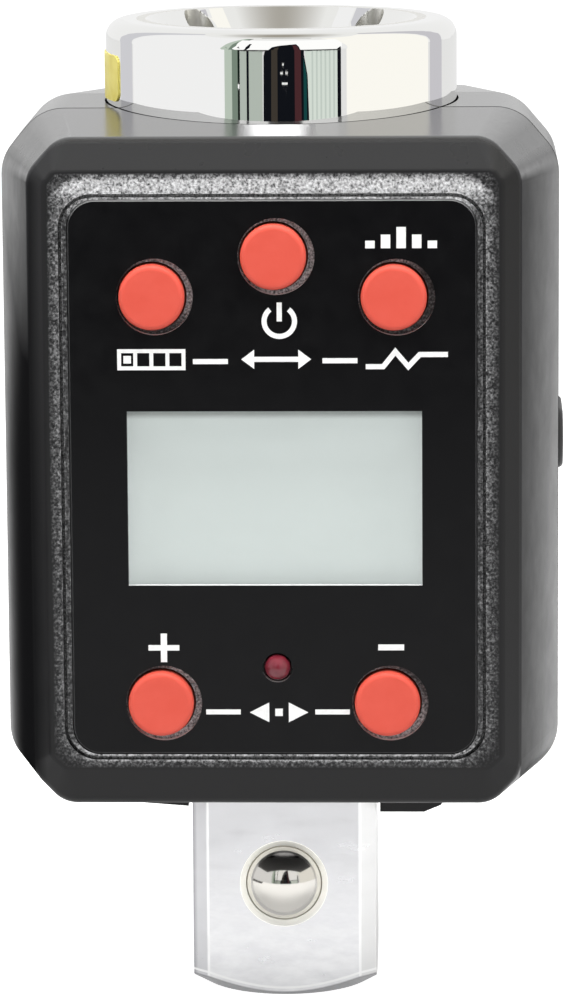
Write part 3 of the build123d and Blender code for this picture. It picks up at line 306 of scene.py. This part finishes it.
def housing_material():
    """Black moulded plastic: grain on the flat of the front with pale specks of painted light, a finer
    grain elsewhere.
    """
    black = rgb(0.007, 0.007, 0.0075)
    shader = Shader("housing_plastic", black, 0.35, Coat_Roughness=0.18)
    # Grain, its pale specks painted light
    front = shader.ramp(shader.axis(1), FLAT_FRONT_Y - 0.2, FLAT_FRONT_Y, 1.0, 0.0)
    flat = shader.times(shader.facing_front(), front)
    grain = shader.noise(6.6, 1.5, 0.6)
    share = painted_grain_light(shader)
    sharpness = shader.ramp(share, 0.0, 1.0, 2.8, 0.9)
    painted_glint = shader.power(shader.ramp(grain, 0.26, 0.74), sharpness)
    strength = shader.times(shader.power(share, 1.2), 0.93)
    painted_glint = shader.times(shader.times(painted_glint, strength), flat)
    fine = shader.times(shader.noise(8.0, 2.0, 0.6), shader.ramp(flat, 0.0, 1.0, 0.3, 0.0))
    shader.roughen(shader.plus(fine, shader.times(grain, flat)), 0.03, 0.5)
    # Colour and gloss: faces that look up are paler, a painted light from above, and glossier; side faces
    # only glossier
    upper = shader.ramp(shader.normal(2), 0.3, 0.9)
    plain = shader.mix(upper, black, rgb(0.025, 0.025, 0.025))
    shader.give("Base Color", shader.mix(painted_glint, plain, rgb(0.85, 0.85, 0.86)))
    side = shader.ramp(shader.off(shader.normal(0)), 0.85, 0.95)
    glossy = shader.larger(upper, side)
    shader.give("Specular IOR Level", shader.ramp(glossy, 0.0, 1.0, 0.22, 0.55))
    shader.give("Coat Weight", shader.ramp(glossy, 0.0, 1.0, 0.0, 0.36))
    gloss = shader.vary(0.35, 3.0, 0.28, 0.38, rough=0.6)
    shader.give("Roughness", shader.lerp(upper, gloss, 0.22))
    # Painted shade: sides without gloss beside the bevel
    painted_dark = shader.add("ShaderNodeBsdfDiffuse", Color=black)
    kept = shader.lerp(shader.ramp(shader.normal(2), 0.1, 0.3), side_painted_shade_and_light(shader), 1.0)
    shader.blend(kept, painted_dark, shader.principled)
    return shader.material


def label_material():
    """Black face label with a few faint marks of dust and a cut edge lighter with a painted highlight,
    most where it looks up.
    """
    black = rgb(0.0045, 0.0045, 0.005)
    shader = Shader("label_gloss", black, 0.2, Specular_IOR_Level=0.12)
    dust = shader.ramp(shader.noise(3.0, 4.0, 0.7), 0.64, 0.80, 0.0, 0.5)
    face = shader.mix(dust, black, rgb(0.02, 0.02, 0.021))
    upward = shader.ramp(shader.normal(2), 0.2, 0.8)
    # Cut edge: painted highlight, much paler where it looks up
    edge = shader.mix(upward, rgb(0.09, 0.09, 0.092), rgb(0.70, 0.70, 0.70))
    shader.give("Base Color", shader.mix(shader.facing_front(), edge, face))
    shader.give("Roughness", shader.vary(0.6, 3.0, 0.14, 0.26, rough=0.6))
    return shader.material


def key_material():
    """Coral red moulded keys with a soft sheen."""
    shader = Shader("key_red", rgb(0.80, 0.085, 0.06), 0.42, Specular_IOR_Level=0.3)
    shader.mottle(0.8, 2.0, rgb(0.70, 0.094, 0.062), rgb(0.67, 0.082, 0.052))
    shader.roughen(shader.noise(7.0), 0.01, 0.4)
    return shader.material


def bore_share(shader, height):
    """1 in the female square, which is everything deeper than the cone of its lead-in."""
    radius = shader.radius(0, 1)
    cone = shader.minus(SHAFT_TOP, shader.times(shader.minus(LEAD_IN_RADIUS, radius), LEAD_IN_SLOPE))
    deep = shader.ramp(shader.minus(cone, height), 0.04, 0.14)
    near = shader.ramp(radius, RELIEF_REACH, RELIEF_REACH + 0.1, 1.0, 0.0)
    floor = SHAFT_TOP - SOCKET_DEPTH
    return shader.times(shader.times(deep, near), shader.ramp(height, floor, floor + 1.0))


def sink_share(shader):
    """1 on the bright ring pressed round the ball."""
    ring = shader.ramp(shader.radius(0, 2, BALL_Z), BALL_SINK_RADIUS, BALL_SINK_RADIUS + 0.04, 1.0, 0.0)
    return shader.times(ring, shader.ramp(shader.axis(1), DRIVE_FRONT_Y, DRIVE_FRONT_Y + 0.1, 1.0, 0.0))


def drive_colour(shader, smear, height):
    """Colour of the drive: satin front with smears, painted shade towards the housing and on the left
    corner, painted highlights along its edges and a dark line painted at the end's edge.
    """
    bright = rgb(0.92, 0.92, 0.92)
    drive_tone = shader.mix(shader.ramp(smear, 0.38, 0.62), rgb(0.71, 0.71, 0.725), rgb(0.84, 0.84, 0.85))
    drive_tone = shader.mix(shader.ramp(height, *DRIVE_PAINTED_SHADE, 0.0, 0.85), drive_tone, rgb(0.585, 0.585, 0.60))
    # Turned corners, with painted shade: the left one darker than the right, darkest where it faces away
    off = shader.off(shader.axis(0))
    right = shader.ramp(shader.axis(0), -1.0, 1.0)
    corner = shader.mix(right, rgb(0.63, 0.63, 0.645), rgb(0.75, 0.75, 0.75))
    shade = shader.mix(right, rgb(0.40, 0.40, 0.42), rgb(0.75, 0.75, 0.75))
    corner = shader.mix(shader.ramp(off, DRIVE_TURN_HALF, DRIVE_TURN_HALF + 0.25), corner, shade)
    drive_tone = shader.mix(shader.ramp(off, DRIVE_FLAT_HALF, DRIVE_FLAT_HALF + 0.02), drive_tone, corner)
    # Painted highlights along the edges of the corners and over the drive's end, and a dark line painted
    # at the end's edge
    edge = shader.ramp(shader.off(off, DRIVE_FLAT_HALF), 0.05, 0.12, 1.0, 0.0)
    slope = shader.times(shader.minus(shader.radius(0, 1), DRIVE_END_RADIUS), DRIVE_END_SLOPE)
    above_end = shader.minus(height, slope)
    line = shader.ramp(shader.off(above_end, DRIVE_END_HIGHLIGHT), 0.05, 0.11, 1.0, 0.0)
    drive_tone = shader.mix(shader.larger(edge, line), drive_tone, bright)
    return shader.mix(shader.ramp(above_end, 0.02, 0.14, 1.0, 0.0), drive_tone, rgb(0.30, 0.30, 0.31))


def shaft_material():
    """Chromed collar above, satin steel drive with smears below, a duller female square."""
    chrome = rgb(0.90, 0.90, 0.885)
    ring_white_glow = rgb(1.0, 0.99, 0.94)
    shader = Shader("chrome_steel", chrome, 0.01, Metallic=1.0, Emission_Color=ring_white_glow)
    height = shader.axis(2)
    border = SHAFT_TOP * DRIVE_SHARE
    drive = shader.ramp(height, border, border + 1.0, 1.0, 0.0)
    bore = bore_share(shader, height)
    sink = sink_share(shader)
    smear = shader.noise(0.35, 4.0, 0.6, shader.scaled((1 / MM, 1 / MM, 2.6 / MM)))
    satin = shader.ramp(smear, 0.3, 0.7, 0.26, 0.42)
    polished = shader.vary(1.2, 3.0, 0.004, 0.016)
    rough = shader.lerp(drive, polished, satin)
    rough = shader.lerp(bore, rough, 0.30)
    shader.give("Roughness", shader.lerp(sink, rough, 0.45))
    colour = shader.mix(drive, chrome, drive_colour(shader, smear, height))
    colour = shader.mix(bore, colour, rgb(0.80, 0.79, 0.75))
    shader.give("Base Color", shader.mix(sink, colour, ring_white_glow))
    # The ring round the ball is whiter metal and also glows a little: painted light
    shader.give("Emission Strength", shader.times(sink, 0.14))
    shader.roughen(shader.times(shader.noise(14.0, 2.0, 0.6), drive), 0.006, 0.4)
    return shader.material


def metal_material(name, colour, roughness):
    """Plain metal with a fine grain in its gloss."""
    shader = Shader(name, colour, roughness, Metallic=1.0)
    shader.give("Roughness", shader.vary(6.0, 3.0, roughness * 0.8, roughness * 1.3))
    return shader.material


def moulded_material(name, colour, roughness):
    """Moulded plastic or rubber with a fine grain and a slight change of tone."""
    shader = Shader(name, colour, roughness)
    shader.mottle(0.5, 3.0, colour, rgb(*(part * 0.86 for part in colour[:3])))
    shader.roughen(shader.noise(5.0), 0.012, 0.5)
    return shader.material


def display_material():
    """Blank grey-green display glass that glows as painted light, stronger along its sides, with a
    painted shadow along its upper edge.
    """
    grey = rgb(0.278, 0.297, 0.291)
    shader = Shader("lcd_glass", grey, 0.35, Specular_IOR_Level=0.3, Emission_Color=grey)
    shader.mottle(0.12, 1.0, grey, rgb(0.27, 0.289, 0.283))
    off = shader.off(shader.axis(0), middle_of("lcd_panel", 0))
    side = shader.minus(half_of("lcd_panel", 0), off)
    down = shader.minus(DISPLAY_TOP, shader.axis(2))
    # The glass glows as painted light, more along its sides, and less in a painted shadow under its upper
    # edge
    painted_glow = shader.ramp(shader.smaller(side, down), 0.5, 4.0, 1.55, 1.2)
    shade = shader.ramp(down, DISPLAY_PAINTED_SHADOW - 0.1, DISPLAY_PAINTED_SHADOW + 0.25, 0.35, 1.0)
    shader.give("Emission Strength", shader.times(painted_glow, shade))
    return shader.material


def window_material():
    """Clear plastic window that lets light through to the display."""
    shader = Shader("window_clear", rgb(0.97, 0.985, 0.98), 0.04, Transmission_Weight=1.0, IOR=1.3)
    shader.give("Roughness", shader.vary(0.3, 2.0, 0.02, 0.06))
    path = shader.add("ShaderNodeLightPath")
    clear = shader.add("ShaderNodeBsdfTransparent", Color=rgb(0.96, 0.98, 0.975))
    shader.blend(path.outputs["Is Shadow Ray"], shader.principled, clear)
    return shader.material


def led_material():
    """Dark red tinted lens."""
    shader = Shader("led_red", rgb(0.16, 0.012, 0.025), 0.12, Subsurface_Weight=0.3)
    shader.give("Subsurface Radius", (0.6 * MM, 0.1 * MM, 0.1 * MM))
    shader.mottle(1.5, 2.0, rgb(0.20, 0.02, 0.035), rgb(0.14, 0.012, 0.022))
    return shader.material


def sticker_material():
    """Bare yellow paper sticker."""
    shader = Shader("sticker_yellow", rgb(0.88, 0.78, 0.06), 0.4)
    tone = shader.ramp(shader.noise(0.9, 4.0), 0.35, 0.65)
    shader.give("Base Color", shader.mix(tone, rgb(0.72, 0.63, 0.14), rgb(0.64, 0.54, 0.08)))
    return shader.material


def board_material():
    """Green circuit board with tracks under its mask."""
    shader = Shader("board_green", rgb(0.01, 0.13, 0.05), 0.3)
    tracks = shader.add(
        "ShaderNodeTexBrick", Vector=shader.place(), Scale=0.9, Color1=rgb(0.01, 0.12, 0.045),
        Color2=rgb(0.012, 0.15, 0.06), Mortar=rgb(0.03, 0.24, 0.10),
    )
    shader.give("Base Color", tracks.outputs["Color"])
    return shader.material


def print_material():
    """White silk-screen ink."""
    shader = Shader("print_white", rgb(0.87, 0.87, 0.86), 0.45)
    shader.mottle(4.0, 3.0, rgb(0.90, 0.90, 0.89), rgb(0.82, 0.82, 0.81))
    return shader.material


MATERIALS = {
    "housing_plastic": housing_material(),
    "label_gloss": label_material(),
    "key_red": key_material(),
    "chrome_steel": shaft_material(),
    "ball_steel": metal_material("ball_steel", rgb(0.66, 0.64, 0.60), 0.09),
    "spring_steel": metal_material("spring_steel", rgb(0.55, 0.55, 0.54), 0.25),
    "gauge_film": moulded_material("gauge_film", rgb(0.62, 0.40, 0.14), 0.25),
    "gasket_rubber": moulded_material("gasket_rubber", rgb(0.012, 0.012, 0.012), 0.6),
    "window_clear": window_material(),
    "lcd_glass": display_material(),
    "frame_plastic": moulded_material("frame_plastic", rgb(0.55, 0.55, 0.53), 0.5),
    "zebra_rubber": moulded_material("zebra_rubber", rgb(0.2, 0.2, 0.21), 0.6),
    "board_green": board_material(),
    "screw_steel": metal_material("screw_steel", rgb(0.35, 0.35, 0.34), 0.35),
    "switch_plastic": moulded_material("switch_plastic", rgb(0.05, 0.05, 0.05), 0.4),
    "chip_plastic": moulded_material("chip_plastic", rgb(0.03, 0.03, 0.03), 0.5),
    "led_red": led_material(),
    "flex_film": moulded_material("flex_film", rgb(0.55, 0.28, 0.06), 0.25),
    "cell_steel": metal_material("cell_steel", rgb(0.62, 0.62, 0.60), 0.28),
    "contact_metal": metal_material("contact_metal", rgb(0.62, 0.60, 0.54), 0.25),
    "lead_red": moulded_material("lead_red", rgb(0.5, 0.02, 0.02), 0.4),
    "plug_rubber": moulded_material("plug_rubber", rgb(0.014, 0.014, 0.015), 0.5),
    "sticker_yellow": sticker_material(),
}
PRINT = print_material()


def dress_nodes():
    """Give every CAD node the material of its slot."""
    for part in SUBPARTS:
        node = NODES[part["node"]]
        node.data.materials.clear()
        node.data.materials.append(MATERIALS[part["material_slot"]])


def flat_piece(name, outlines):
    """Print on the label: closed (x, z) outlines in millimetres, raised by the ink's thickness."""
    mesh = bmesh.new()
    for outline in outlines:
        points = [mesh.verts.new((x * MM, PRINT_Y, z * MM)) for x, z in outline]
        face = mesh.faces.new(points)
        raised = bmesh.ops.extrude_face_region(mesh, geom=[face])
        lifted = [item for item in raised["geom"] if isinstance(item, bmesh.types.BMVert)]
        bmesh.ops.translate(mesh, verts=lifted, vec=(0, -PRINT_THICKNESS, 0))
    bmesh.ops.recalc_face_normals(mesh, faces=mesh.faces)
    data = bpy.data.meshes.new(name)
    mesh.to_mesh(data)
    mesh.free()
    data.materials.append(PRINT)
    piece = bpy.data.objects.new(name, data)
    bpy.context.scene.collection.objects.link(piece)
    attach(piece, "meter_body")


def bar(x, z, width, height):
    """Outline of an upright bar around its centre."""
    half_x, half_z = width / 2, height / 2
    left, right, low, high = x - half_x, x + half_x, z - half_z, z + half_z
    return [(left, low), (right, low), (right, high), (left, high)]


def ribbon(points, width):
    """Outline of a bent stroke with mitred corners."""
    points = [Vector(point) for point in points]
    steps = [(b - a).normalized() for a, b in zip(points, points[1:])]
    offsets = []
    for first, second in zip(steps[:1] + steps, steps + steps[-1:]):
        along = (first + second).normalized()
        across = Vector((-along.y, along.x))
        offsets.append(across * width / 2 / across.dot(Vector((-first.y, first.x))))
    left = [tuple(point + offset) for point, offset in zip(points, offsets)]
    right = [tuple(point - offset) for point, offset in zip(points, offsets)]
    return left + right[::-1]


def plus_sign(x, z, half_width, half_height, upright_stroke, level_stroke):
    """Outline of a plus sign around its centre."""
    inner_x, inner_z = upright_stroke / 2, level_stroke / 2
    quarter = [(inner_x, half_height), (inner_x, inner_z), (half_width, inner_z)]
    right = quarter + [(a, -b) for a, b in quarter[::-1]]
    return [(x + a, z + b) for a, b in right + [(-a, b) for a, b in right[::-1]]]


def arrow_head(x, z, length, half_height):
    """Outline of a triangle from its tip, with a length that is negative when the tip is on the right."""
    ends = [(x + length, z - half_height), (x + length, z + half_height)]
    return [(x, z)] + (ends if length > 0 else ends[::-1])


def arc(x, z, radius, width, start, end):
    """Outlines of a ring's stretch between two angles in degrees, as short pieces."""
    inner, outer = radius - width / 2, radius + width / 2
    outlines = []
    for step in range(ARC_STEPS):
        first, second = (radians(start + (end - start) * part / ARC_STEPS) for part in (step, step + 1))
        corners = ((inner, first), (outer, first), (outer, second), (inner, second))
        outlines.append([(x + reach * cos(angle), z + reach * sin(angle)) for reach, angle in corners])
    return outlines


def print_memory():
    """Four memory cells under the left key, one of them filled."""
    x, z, width, height = -8.06, 46.49, 4.5, 1.4
    left, low, high = x - width / 2, z - height / 2, z + height / 2
    pitch = (width - THIN_INK) / 4
    cells = [bar(x, edge, width, THIN_INK) for edge in (low + THIN_INK / 2, high - THIN_INK / 2)]
    for step in range(5):
        cells.append(bar(left + THIN_INK / 2 + step * pitch, z, THIN_INK, height - 2 * THIN_INK))
    cells.append(bar(left + THIN_INK / 2 + pitch / 2, z, 0.5, 0.5))
    flat_piece("print_memory", cells)


def print_swap():
    """Arrow with two heads under the power sign."""
    x, z, half, head, rise = 0.16, 46.5, 2.3, 0.85, 0.64
    flat_piece("print_swap", [
        bar(x, z, 2 * (half - head), INK),
        arrow_head(x - half, z, head, rise),
        arrow_head(x + half, z, -head, rise),
    ])


def print_trace():
    """Trace of a rising and falling load, under the right key."""
    x, z = 8.74, 46.5
    points = [(-2.7, -0.5), (-1.55, -0.5), (-0.75, 0.5), (0.1, -0.5), (0.85, 0.3), (2.7, 0.3)]
    flat_piece("print_trace", [ribbon([(x + a, z + b) for a, b in points], INK)])


def print_bars():
    """Row of bars over the right key, the middle one highest."""
    x, low, pitch, width = 8.39, 53.83, 1.02, 0.62
    heights = (0.5, 0.9, 1.4, 0.9, 0.5)
    flat_piece("print_bars", [
        bar(x + (step - 2) * pitch, low + high / 2, width, high) for step, high in enumerate(heights)
    ])


def print_power():
    """Power sign under the middle key: an open ring with an upright stroke in its gap."""
    x, z = 0.38, 49.02
    flat_piece("print_power", arc(x, z, 1.0, INK, 128, 412) + [bar(x, z + 0.62, INK, 1.25)])


def print_adjust():
    """Two arrows that point at the plus and minus keys."""
    x, z, half, head, rise = 0.18, 22.77, 1.95, 1.3, 0.67
    flat_piece("print_adjust", [
        arrow_head(x - half, z, head, rise),
        arrow_head(x + half, z, -head, rise),
        bar(x, z, 0.5, 0.5),
    ])


def print_signs():
    """Signs printed on the label: plain symbols, no lettering."""
    print_memory()
    print_swap()
    print_trace()
    print_bars()
    print_power()
    flat_piece("print_plus", [plus_sign(-7.44, 27.15, 1.03, 0.97, 0.42, 0.37)])
    flat_piece("print_minus", [bar(7.65, 27.18, 1.72, 0.4)])
    print_adjust()
    # Dashes that join the signs
    places = [(-4.17, 46.36), (4.35, 46.4), (-3.52, 22.8), (3.74, 22.8)]
    flat_piece("print_dashes", [bar(x, z, DASH_WIDTH, INK) for x, z in places])


def stage_piece(name, corners, material, mirrored_only=True):
    """Flat piece of the studio between corners, usually seen only in reflections."""
    data = bpy.data.meshes.new(name)
    data.from_pydata([Vector(c) for c in corners], [], [tuple(range(len(corners)))])
    data.materials.append(material)
    piece = bpy.data.objects.new(name, data)
    bpy.context.scene.collection.objects.link(piece)
    if mirrored_only:
        piece.visible_camera = False
        piece.visible_diffuse = False
        piece.visible_shadow = False


def level_corners(left, right, near, far, height):
    """Corners of a level rectangle."""
    return [(left, near, height), (right, near, height), (right, far, height), (left, far, height)]


def glow_shader(name, colour=BLACK, strength=1.0):
    """Shader of a card that only glows."""
    return Shader(
        name, BLACK, 1.0, Specular_IOR_Level=0.0, Emission_Color=colour, Emission_Strength=strength,
    )


def spot_material():
    """Glowing card for a painted highlight: bright in the middle, fading to its sides, with nothing on
    its back.
    """
    shader = glow_shader("collar_glow", rgb(1, 1, 1))
    ragged = shader.plus(shader.off(shader.axis(0), 0.05), shader.vary(6.0, 3.0, -0.25, 0.25, rough=0.7))
    shader.give("Emission Strength", shader.ramp(ragged, 1.1, 2.4, 3.0, 0.5))
    back = shader.add("ShaderNodeNewGeometry").outputs["Backfacing"]
    clear = shader.add("ShaderNodeBsdfTransparent")
    shader.blend(shader.larger(back, shader.ramp(ragged, 2.0, 2.7)), shader.principled, clear)
    return shader.material


def zenith_material():
    """Card overhead, darker in the middle."""
    shader = glow_shader("zenith")
    share = shader.ramp(shader.radius(0, 1), 50.0, 230.0)
    shader.give("Emission Color", shader.mix(share, rgb(0.35, 0.325, 0.28), rgb(0.90, 0.90, 0.89)))
    return shader.material


def floor_material():
    """Pale floor: white where it is lit, darker in the object's shadow."""
    shader = Shader(
        "floor_white", rgb(0.5, 0.5, 0.5), 0.9, Specular_IOR_Level=0.0, Emission_Color=rgb(1, 1, 1),
    )
    path = shader.add("ShaderNodeLightPath")
    mirrored = shader.times(path.outputs["Is Glossy Ray"], 0.53)
    straight = shader.times(path.outputs["Is Camera Ray"], 0.95)
    shader.give("Emission Strength", shader.plus(mirrored, straight))
    return shader.material


# Distances of the cards from the shaft's axis
INNER = 266 * MM
NEAR = 280 * MM
BEHIND_NEAR = 281 * MM
FAR = 290 * MM

# Light of the surroundings, and usual colours of the cards
WORLD_LIGHT = 0.58  # for rays that only light the object
CARD_BLACK = rgb(0.006, 0.007, 0.010)
GLINT_WHITE = rgb(0.9, 0.9, 0.9)

# Heights of the cards, in millimetres
BOX_EDGE_LOW = 42.52  # dark edge across the white box round the camera
BOX_EDGE_HIGH = 48.0
BOX_HEIGHT = 450.0
WALL_HEIGHT = 640.0
GLINT_HALF = 0.13  # half the height of a small light
PATCH_LIFT = 0.5  # of a patch over the floor

# Fine upright streaks in the lower part of the box, in degrees
STREAKS = 6
STREAK_START = 19.0
STREAK_PITCH = 2.8
STREAK_WIDTH = 1.1

# Angle that one flat card of a screen or a patch covers, in degrees
SCREEN_STEP = 6.0
PATCH_STEP = 10.0


def card(name, outline, distance, colour):
    """Upright card from corners: (azimuth from the camera's, height in millimetres)."""
    corners = []
    for azimuth, height in outline:
        angle = radians(azimuth + CAMERA_AZIMUTH)
        corners.append((distance * sin(angle), -distance * cos(angle), height * MM))
    stage_piece(name, corners, glow_shader(name, colour).material)


def stretches(start, end, step):
    """Neighbouring pairs of angles that part a stretch into steps of about the given size."""
    count = max(1, round((end - start) / step))
    angles = [start + (end - start) * index / count for index in range(count + 1)]
    return list(zip(angles, angles[1:]))


def screen(name, start, end, low, high, distance, colour, flare=1.0):
    """Upright screen bent round the object, as a row of flat cards, wider at the top by the flare."""
    for index, (first, second) in enumerate(stretches(start, end, SCREEN_STEP)):
        outline = [(first, low), (second, low), (second * flare, high), (first * flare, high)]
        card(f"{name}_{index + 1}", outline, distance, colour)


def patch(name, start, end, near, far, colour):
    """Patch lying just over the floor between two azimuths and two distances."""
    for index, pair in enumerate(stretches(start, end, PATCH_STEP)):
        first, second = (radians(angle + CAMERA_AZIMUTH) for angle in pair)
        places = ((first, near), (second, near), (second, far), (first, far))
        corners = [(reach * sin(angle), -reach * cos(angle), PATCH_LIFT * MM) for angle, reach in places]
        stage_piece(f"{name}_{index + 1}", corners, glow_shader(name, colour).material)


def build_camera_cards():
    """Dark camera stand that the middle of the collar shows, with its coloured edges and small lights."""
    outline = [
        (-12.7, 0), (17.3, 0), (17.3, 34.6), (16.5, 39.6), (14.2, 42.1), (11.7, 88), (10.0, 225),
        (-1.3, 175), (-5.8, 130), (-9.5, 43), (-11.3, 42),
    ]
    card("camera_card", outline, NEAR, CARD_BLACK)
    brown = [(-8.0, 0), (-3.0, 0), (-1.8, 120), (-4.0, 110)]
    card("camera_brown", brown, INNER, rgb(0.05, 0.042, 0.034))
    red = [(8.6, 0), (14.0, 0), (11.5, 60), (9.4, 180), (7.0, 170)]
    card("camera_red", red, INNER, rgb(0.07, 0.024, 0.028))
    teal = [(14.6, 0), (17.1, 0), (15.8, 41), (13.8, 43)]
    card("camera_teal", teal, INNER, rgb(0.008, 0.06, 0.06))
    glints = ((-0.8, 0.8, 41.3), (2.4, 4.0, 41.3), (0.2, 3.8, 40.1), (0.4, 1.4, 42.3), (-4.7, -3.9, 44.6))
    for index, (start, end, height) in enumerate(glints):
        low, high = height - GLINT_HALF, height + GLINT_HALF
        screen(f"glint_{index + 1}", start, end, low, high, INNER - MM, GLINT_WHITE)
    screen("wall_glint", -27.8, -26.8, 39.4, 39.9, INNER, rgb(1.2, 1.2, 1.2))


def build_box():
    """White box round the camera, greener in its lower part, with dark lines beside it."""
    screen("left_line", -22.2, -20.7, 0, 230, NEAR, CARD_BLACK)
    screen("right_line", 35.8, 38.2, 0, 240, NEAR, CARD_BLACK)
    screen("box_edge", -26.5, 38.0, BOX_EDGE_LOW, BOX_EDGE_HIGH, NEAR, rgb(0.05, 0.05, 0.05))
    screen("box_low_left", -26.5, -12.0, 0, BOX_EDGE_LOW, BEHIND_NEAR, rgb(0.47, 0.525, 0.475))
    screen("box_low_right", 15.0, 36.0, 0, BOX_EDGE_LOW, BEHIND_NEAR, rgb(0.72, 0.79, 0.73))
    for index in range(STREAKS):
        start = STREAK_START + STREAK_PITCH * index
        end = start + STREAK_WIDTH
        screen(f"streak_{index + 1}", start, end, 0, BOX_EDGE_LOW, NEAR, rgb(0.58, 0.65, 0.60))
    screen("box_high", -26.5, 37.0, BOX_EDGE_HIGH, BOX_HEIGHT, BEHIND_NEAR, rgb(1.1, 1.1, 1.1), flare=1.3)


def build_walls():
    """Pale walls to both sides, the left one with a darker strip towards the camera."""
    walls = (
        ("left_wall", -36.5, -31.5, rgb(0.52, 0.60, 0.52), 1.1),
        ("left_wall_dark", -31.5, -27.8, rgb(0.20, 0.26, 0.21), 1.1),
        ("left_wall_edge", -27.8, -26.4, rgb(0.01, 0.015, 0.012), 1.1),
        ("left_field", -112.0, -36.5, rgb(0.96, 0.96, 0.97), 1.0),
        ("left_band", -129.0, -113.0, rgb(0.66, 0.66, 0.70), 1.0),
        ("right_field", 42.0, 110.0, rgb(1.06, 1.04, 0.98), 1.0),
        ("right_band", 112.0, 128.0, rgb(0.61, 0.60, 0.64), 1.0),
    )
    for name, start, end, colour, flare in walls:
        screen(name, start, end, 0, WALL_HEIGHT, FAR, colour, flare)


def build_ceiling():
    """Card overhead and the grey lid of the box just under it."""
    side, height = 300 * MM, WALL_HEIGHT * MM
    stage_piece("zenith", level_corners(-side, side, -side, side, height), zenith_material())
    lid = level_corners(-85 * MM, 150 * MM, -212 * MM, -190 * MM, height - 2 * MM)
    stage_piece("box_lid", lid, glow_shader("box_lid", rgb(0.3, 0.3, 0.3)).material)


def area_light(name, place, aim, size, power):
    """Soft rectangular lamp."""
    data = bpy.data.lights.new(name, "AREA")
    data.shape = "RECTANGLE"
    data.size, data.size_y = size
    data.energy = power
    lamp = bpy.data.objects.new(name, data)
    bpy.context.scene.collection.objects.link(lamp)
    lamp.location = place
    lamp.visible_camera = False
    lamp.visible_glossy = False
    lamp.rotation_euler = (Vector(aim) - Vector(place)).to_track_quat("-Z", "Y").to_euler()


def build_lamps():
    """One soft lamp overhead and one to each side."""
    area_light("top_soft", (0, -0.05, 0.24), (0, -0.01, 0.04), (0.22, 0.12), 0.72)
    for name, side in (("left_soft", -1), ("right_soft", 1)):
        area_light(name, (side * 0.35, -0.20, 0.18), (0, 0, 0.04), (0.25, 0.35), 0.65)


def build_studio():
    """Floor, lamps and the cards that the chrome and the housing show."""
    reach = 3.0
    floor = level_corners(-reach, reach, -reach, reach, 0)
    stage_piece("floor", floor, floor_material(), mirrored_only=False)
    build_camera_cards()
    build_box()
    build_walls()
    build_ceiling()
    # Dark patch over the floor, seen only in reflections, that puts painted shade on the left bevel
    patch("bevel_shade", -112.0, -62.0, 78 * MM, 275 * MM, rgb(0.12, 0.12, 0.12))
    build_lamps()
    # Glowing card, seen only in reflections, that puts a painted highlight on the housing's top in front
    # of the collar
    spot = [(-2.9, 60.9), (3.0, 60.9), (2.7, 62.8), (-2.5, 62.8)]
    stage_piece("collar_glow", [(x * MM, -12.12 * MM, z * MM) for x, z in spot], spot_material())


def build_world():
    """White surroundings for the camera, a little less in reflections, softer light for the rest."""
    world = bpy.data.worlds.new("studio")
    bpy.context.scene.world = world
    world.use_nodes = True
    tree = world.node_tree
    background = tree.nodes["Background"]
    background.inputs["Color"].default_value = rgb(1, 1, 1)
    path = tree.nodes.new("ShaderNodeLightPath")
    strength = None
    for ray, more in (("Is Camera Ray", 0.42), ("Is Glossy Ray", 0.34), ("Is Transmission Ray", 0.42)):
        step = tree.nodes.new("ShaderNodeMath")
        step.operation = "MULTIPLY_ADD"
        tree.links.new(path.outputs[ray], step.inputs[0])
        step.inputs[1].default_value = more
        step.inputs[2].default_value = WORLD_LIGHT
        if strength:
            tree.links.new(strength, step.inputs[2])
        strength = step.outputs[0]
    tree.links.new(strength, background.inputs["Strength"])


def build_camera():
    """Camera of the main view."""
    azimuth, elevation, roll = (radians(a) for a in (CAMERA_AZIMUTH, CAMERA_ELEVATION, CAMERA_ROLL))
    back = Vector((sin(azimuth) * cos(elevation), -cos(azimuth) * cos(elevation), sin(elevation)))
    right = Vector((cos(azimuth), sin(azimuth), 0))
    up = back.cross(right)
    rolled_right = cos(roll) * right + sin(roll) * up
    rolled_up = -sin(roll) * right + cos(roll) * up
    data = bpy.data.cameras.new("camera")
    data.lens = CAMERA_LENS
    data.sensor_width = CAMERA_SENSOR
    data.clip_start, data.clip_end = 0.01, 20
    camera = bpy.data.objects.new("camera", data)
    bpy.context.scene.collection.objects.link(camera)
    turn = Matrix((rolled_right, rolled_up, back)).transposed().to_4x4()
    camera.matrix_world = Matrix.Translation(CAMERA_TARGET + back * CAMERA_DISTANCE) @ turn
    bpy.context.scene.camera = camera


dress_nodes()
print_signs()
build_world()
build_studio()
build_camera()
bpy.context.scene.view_settings.view_transform = "Standard"
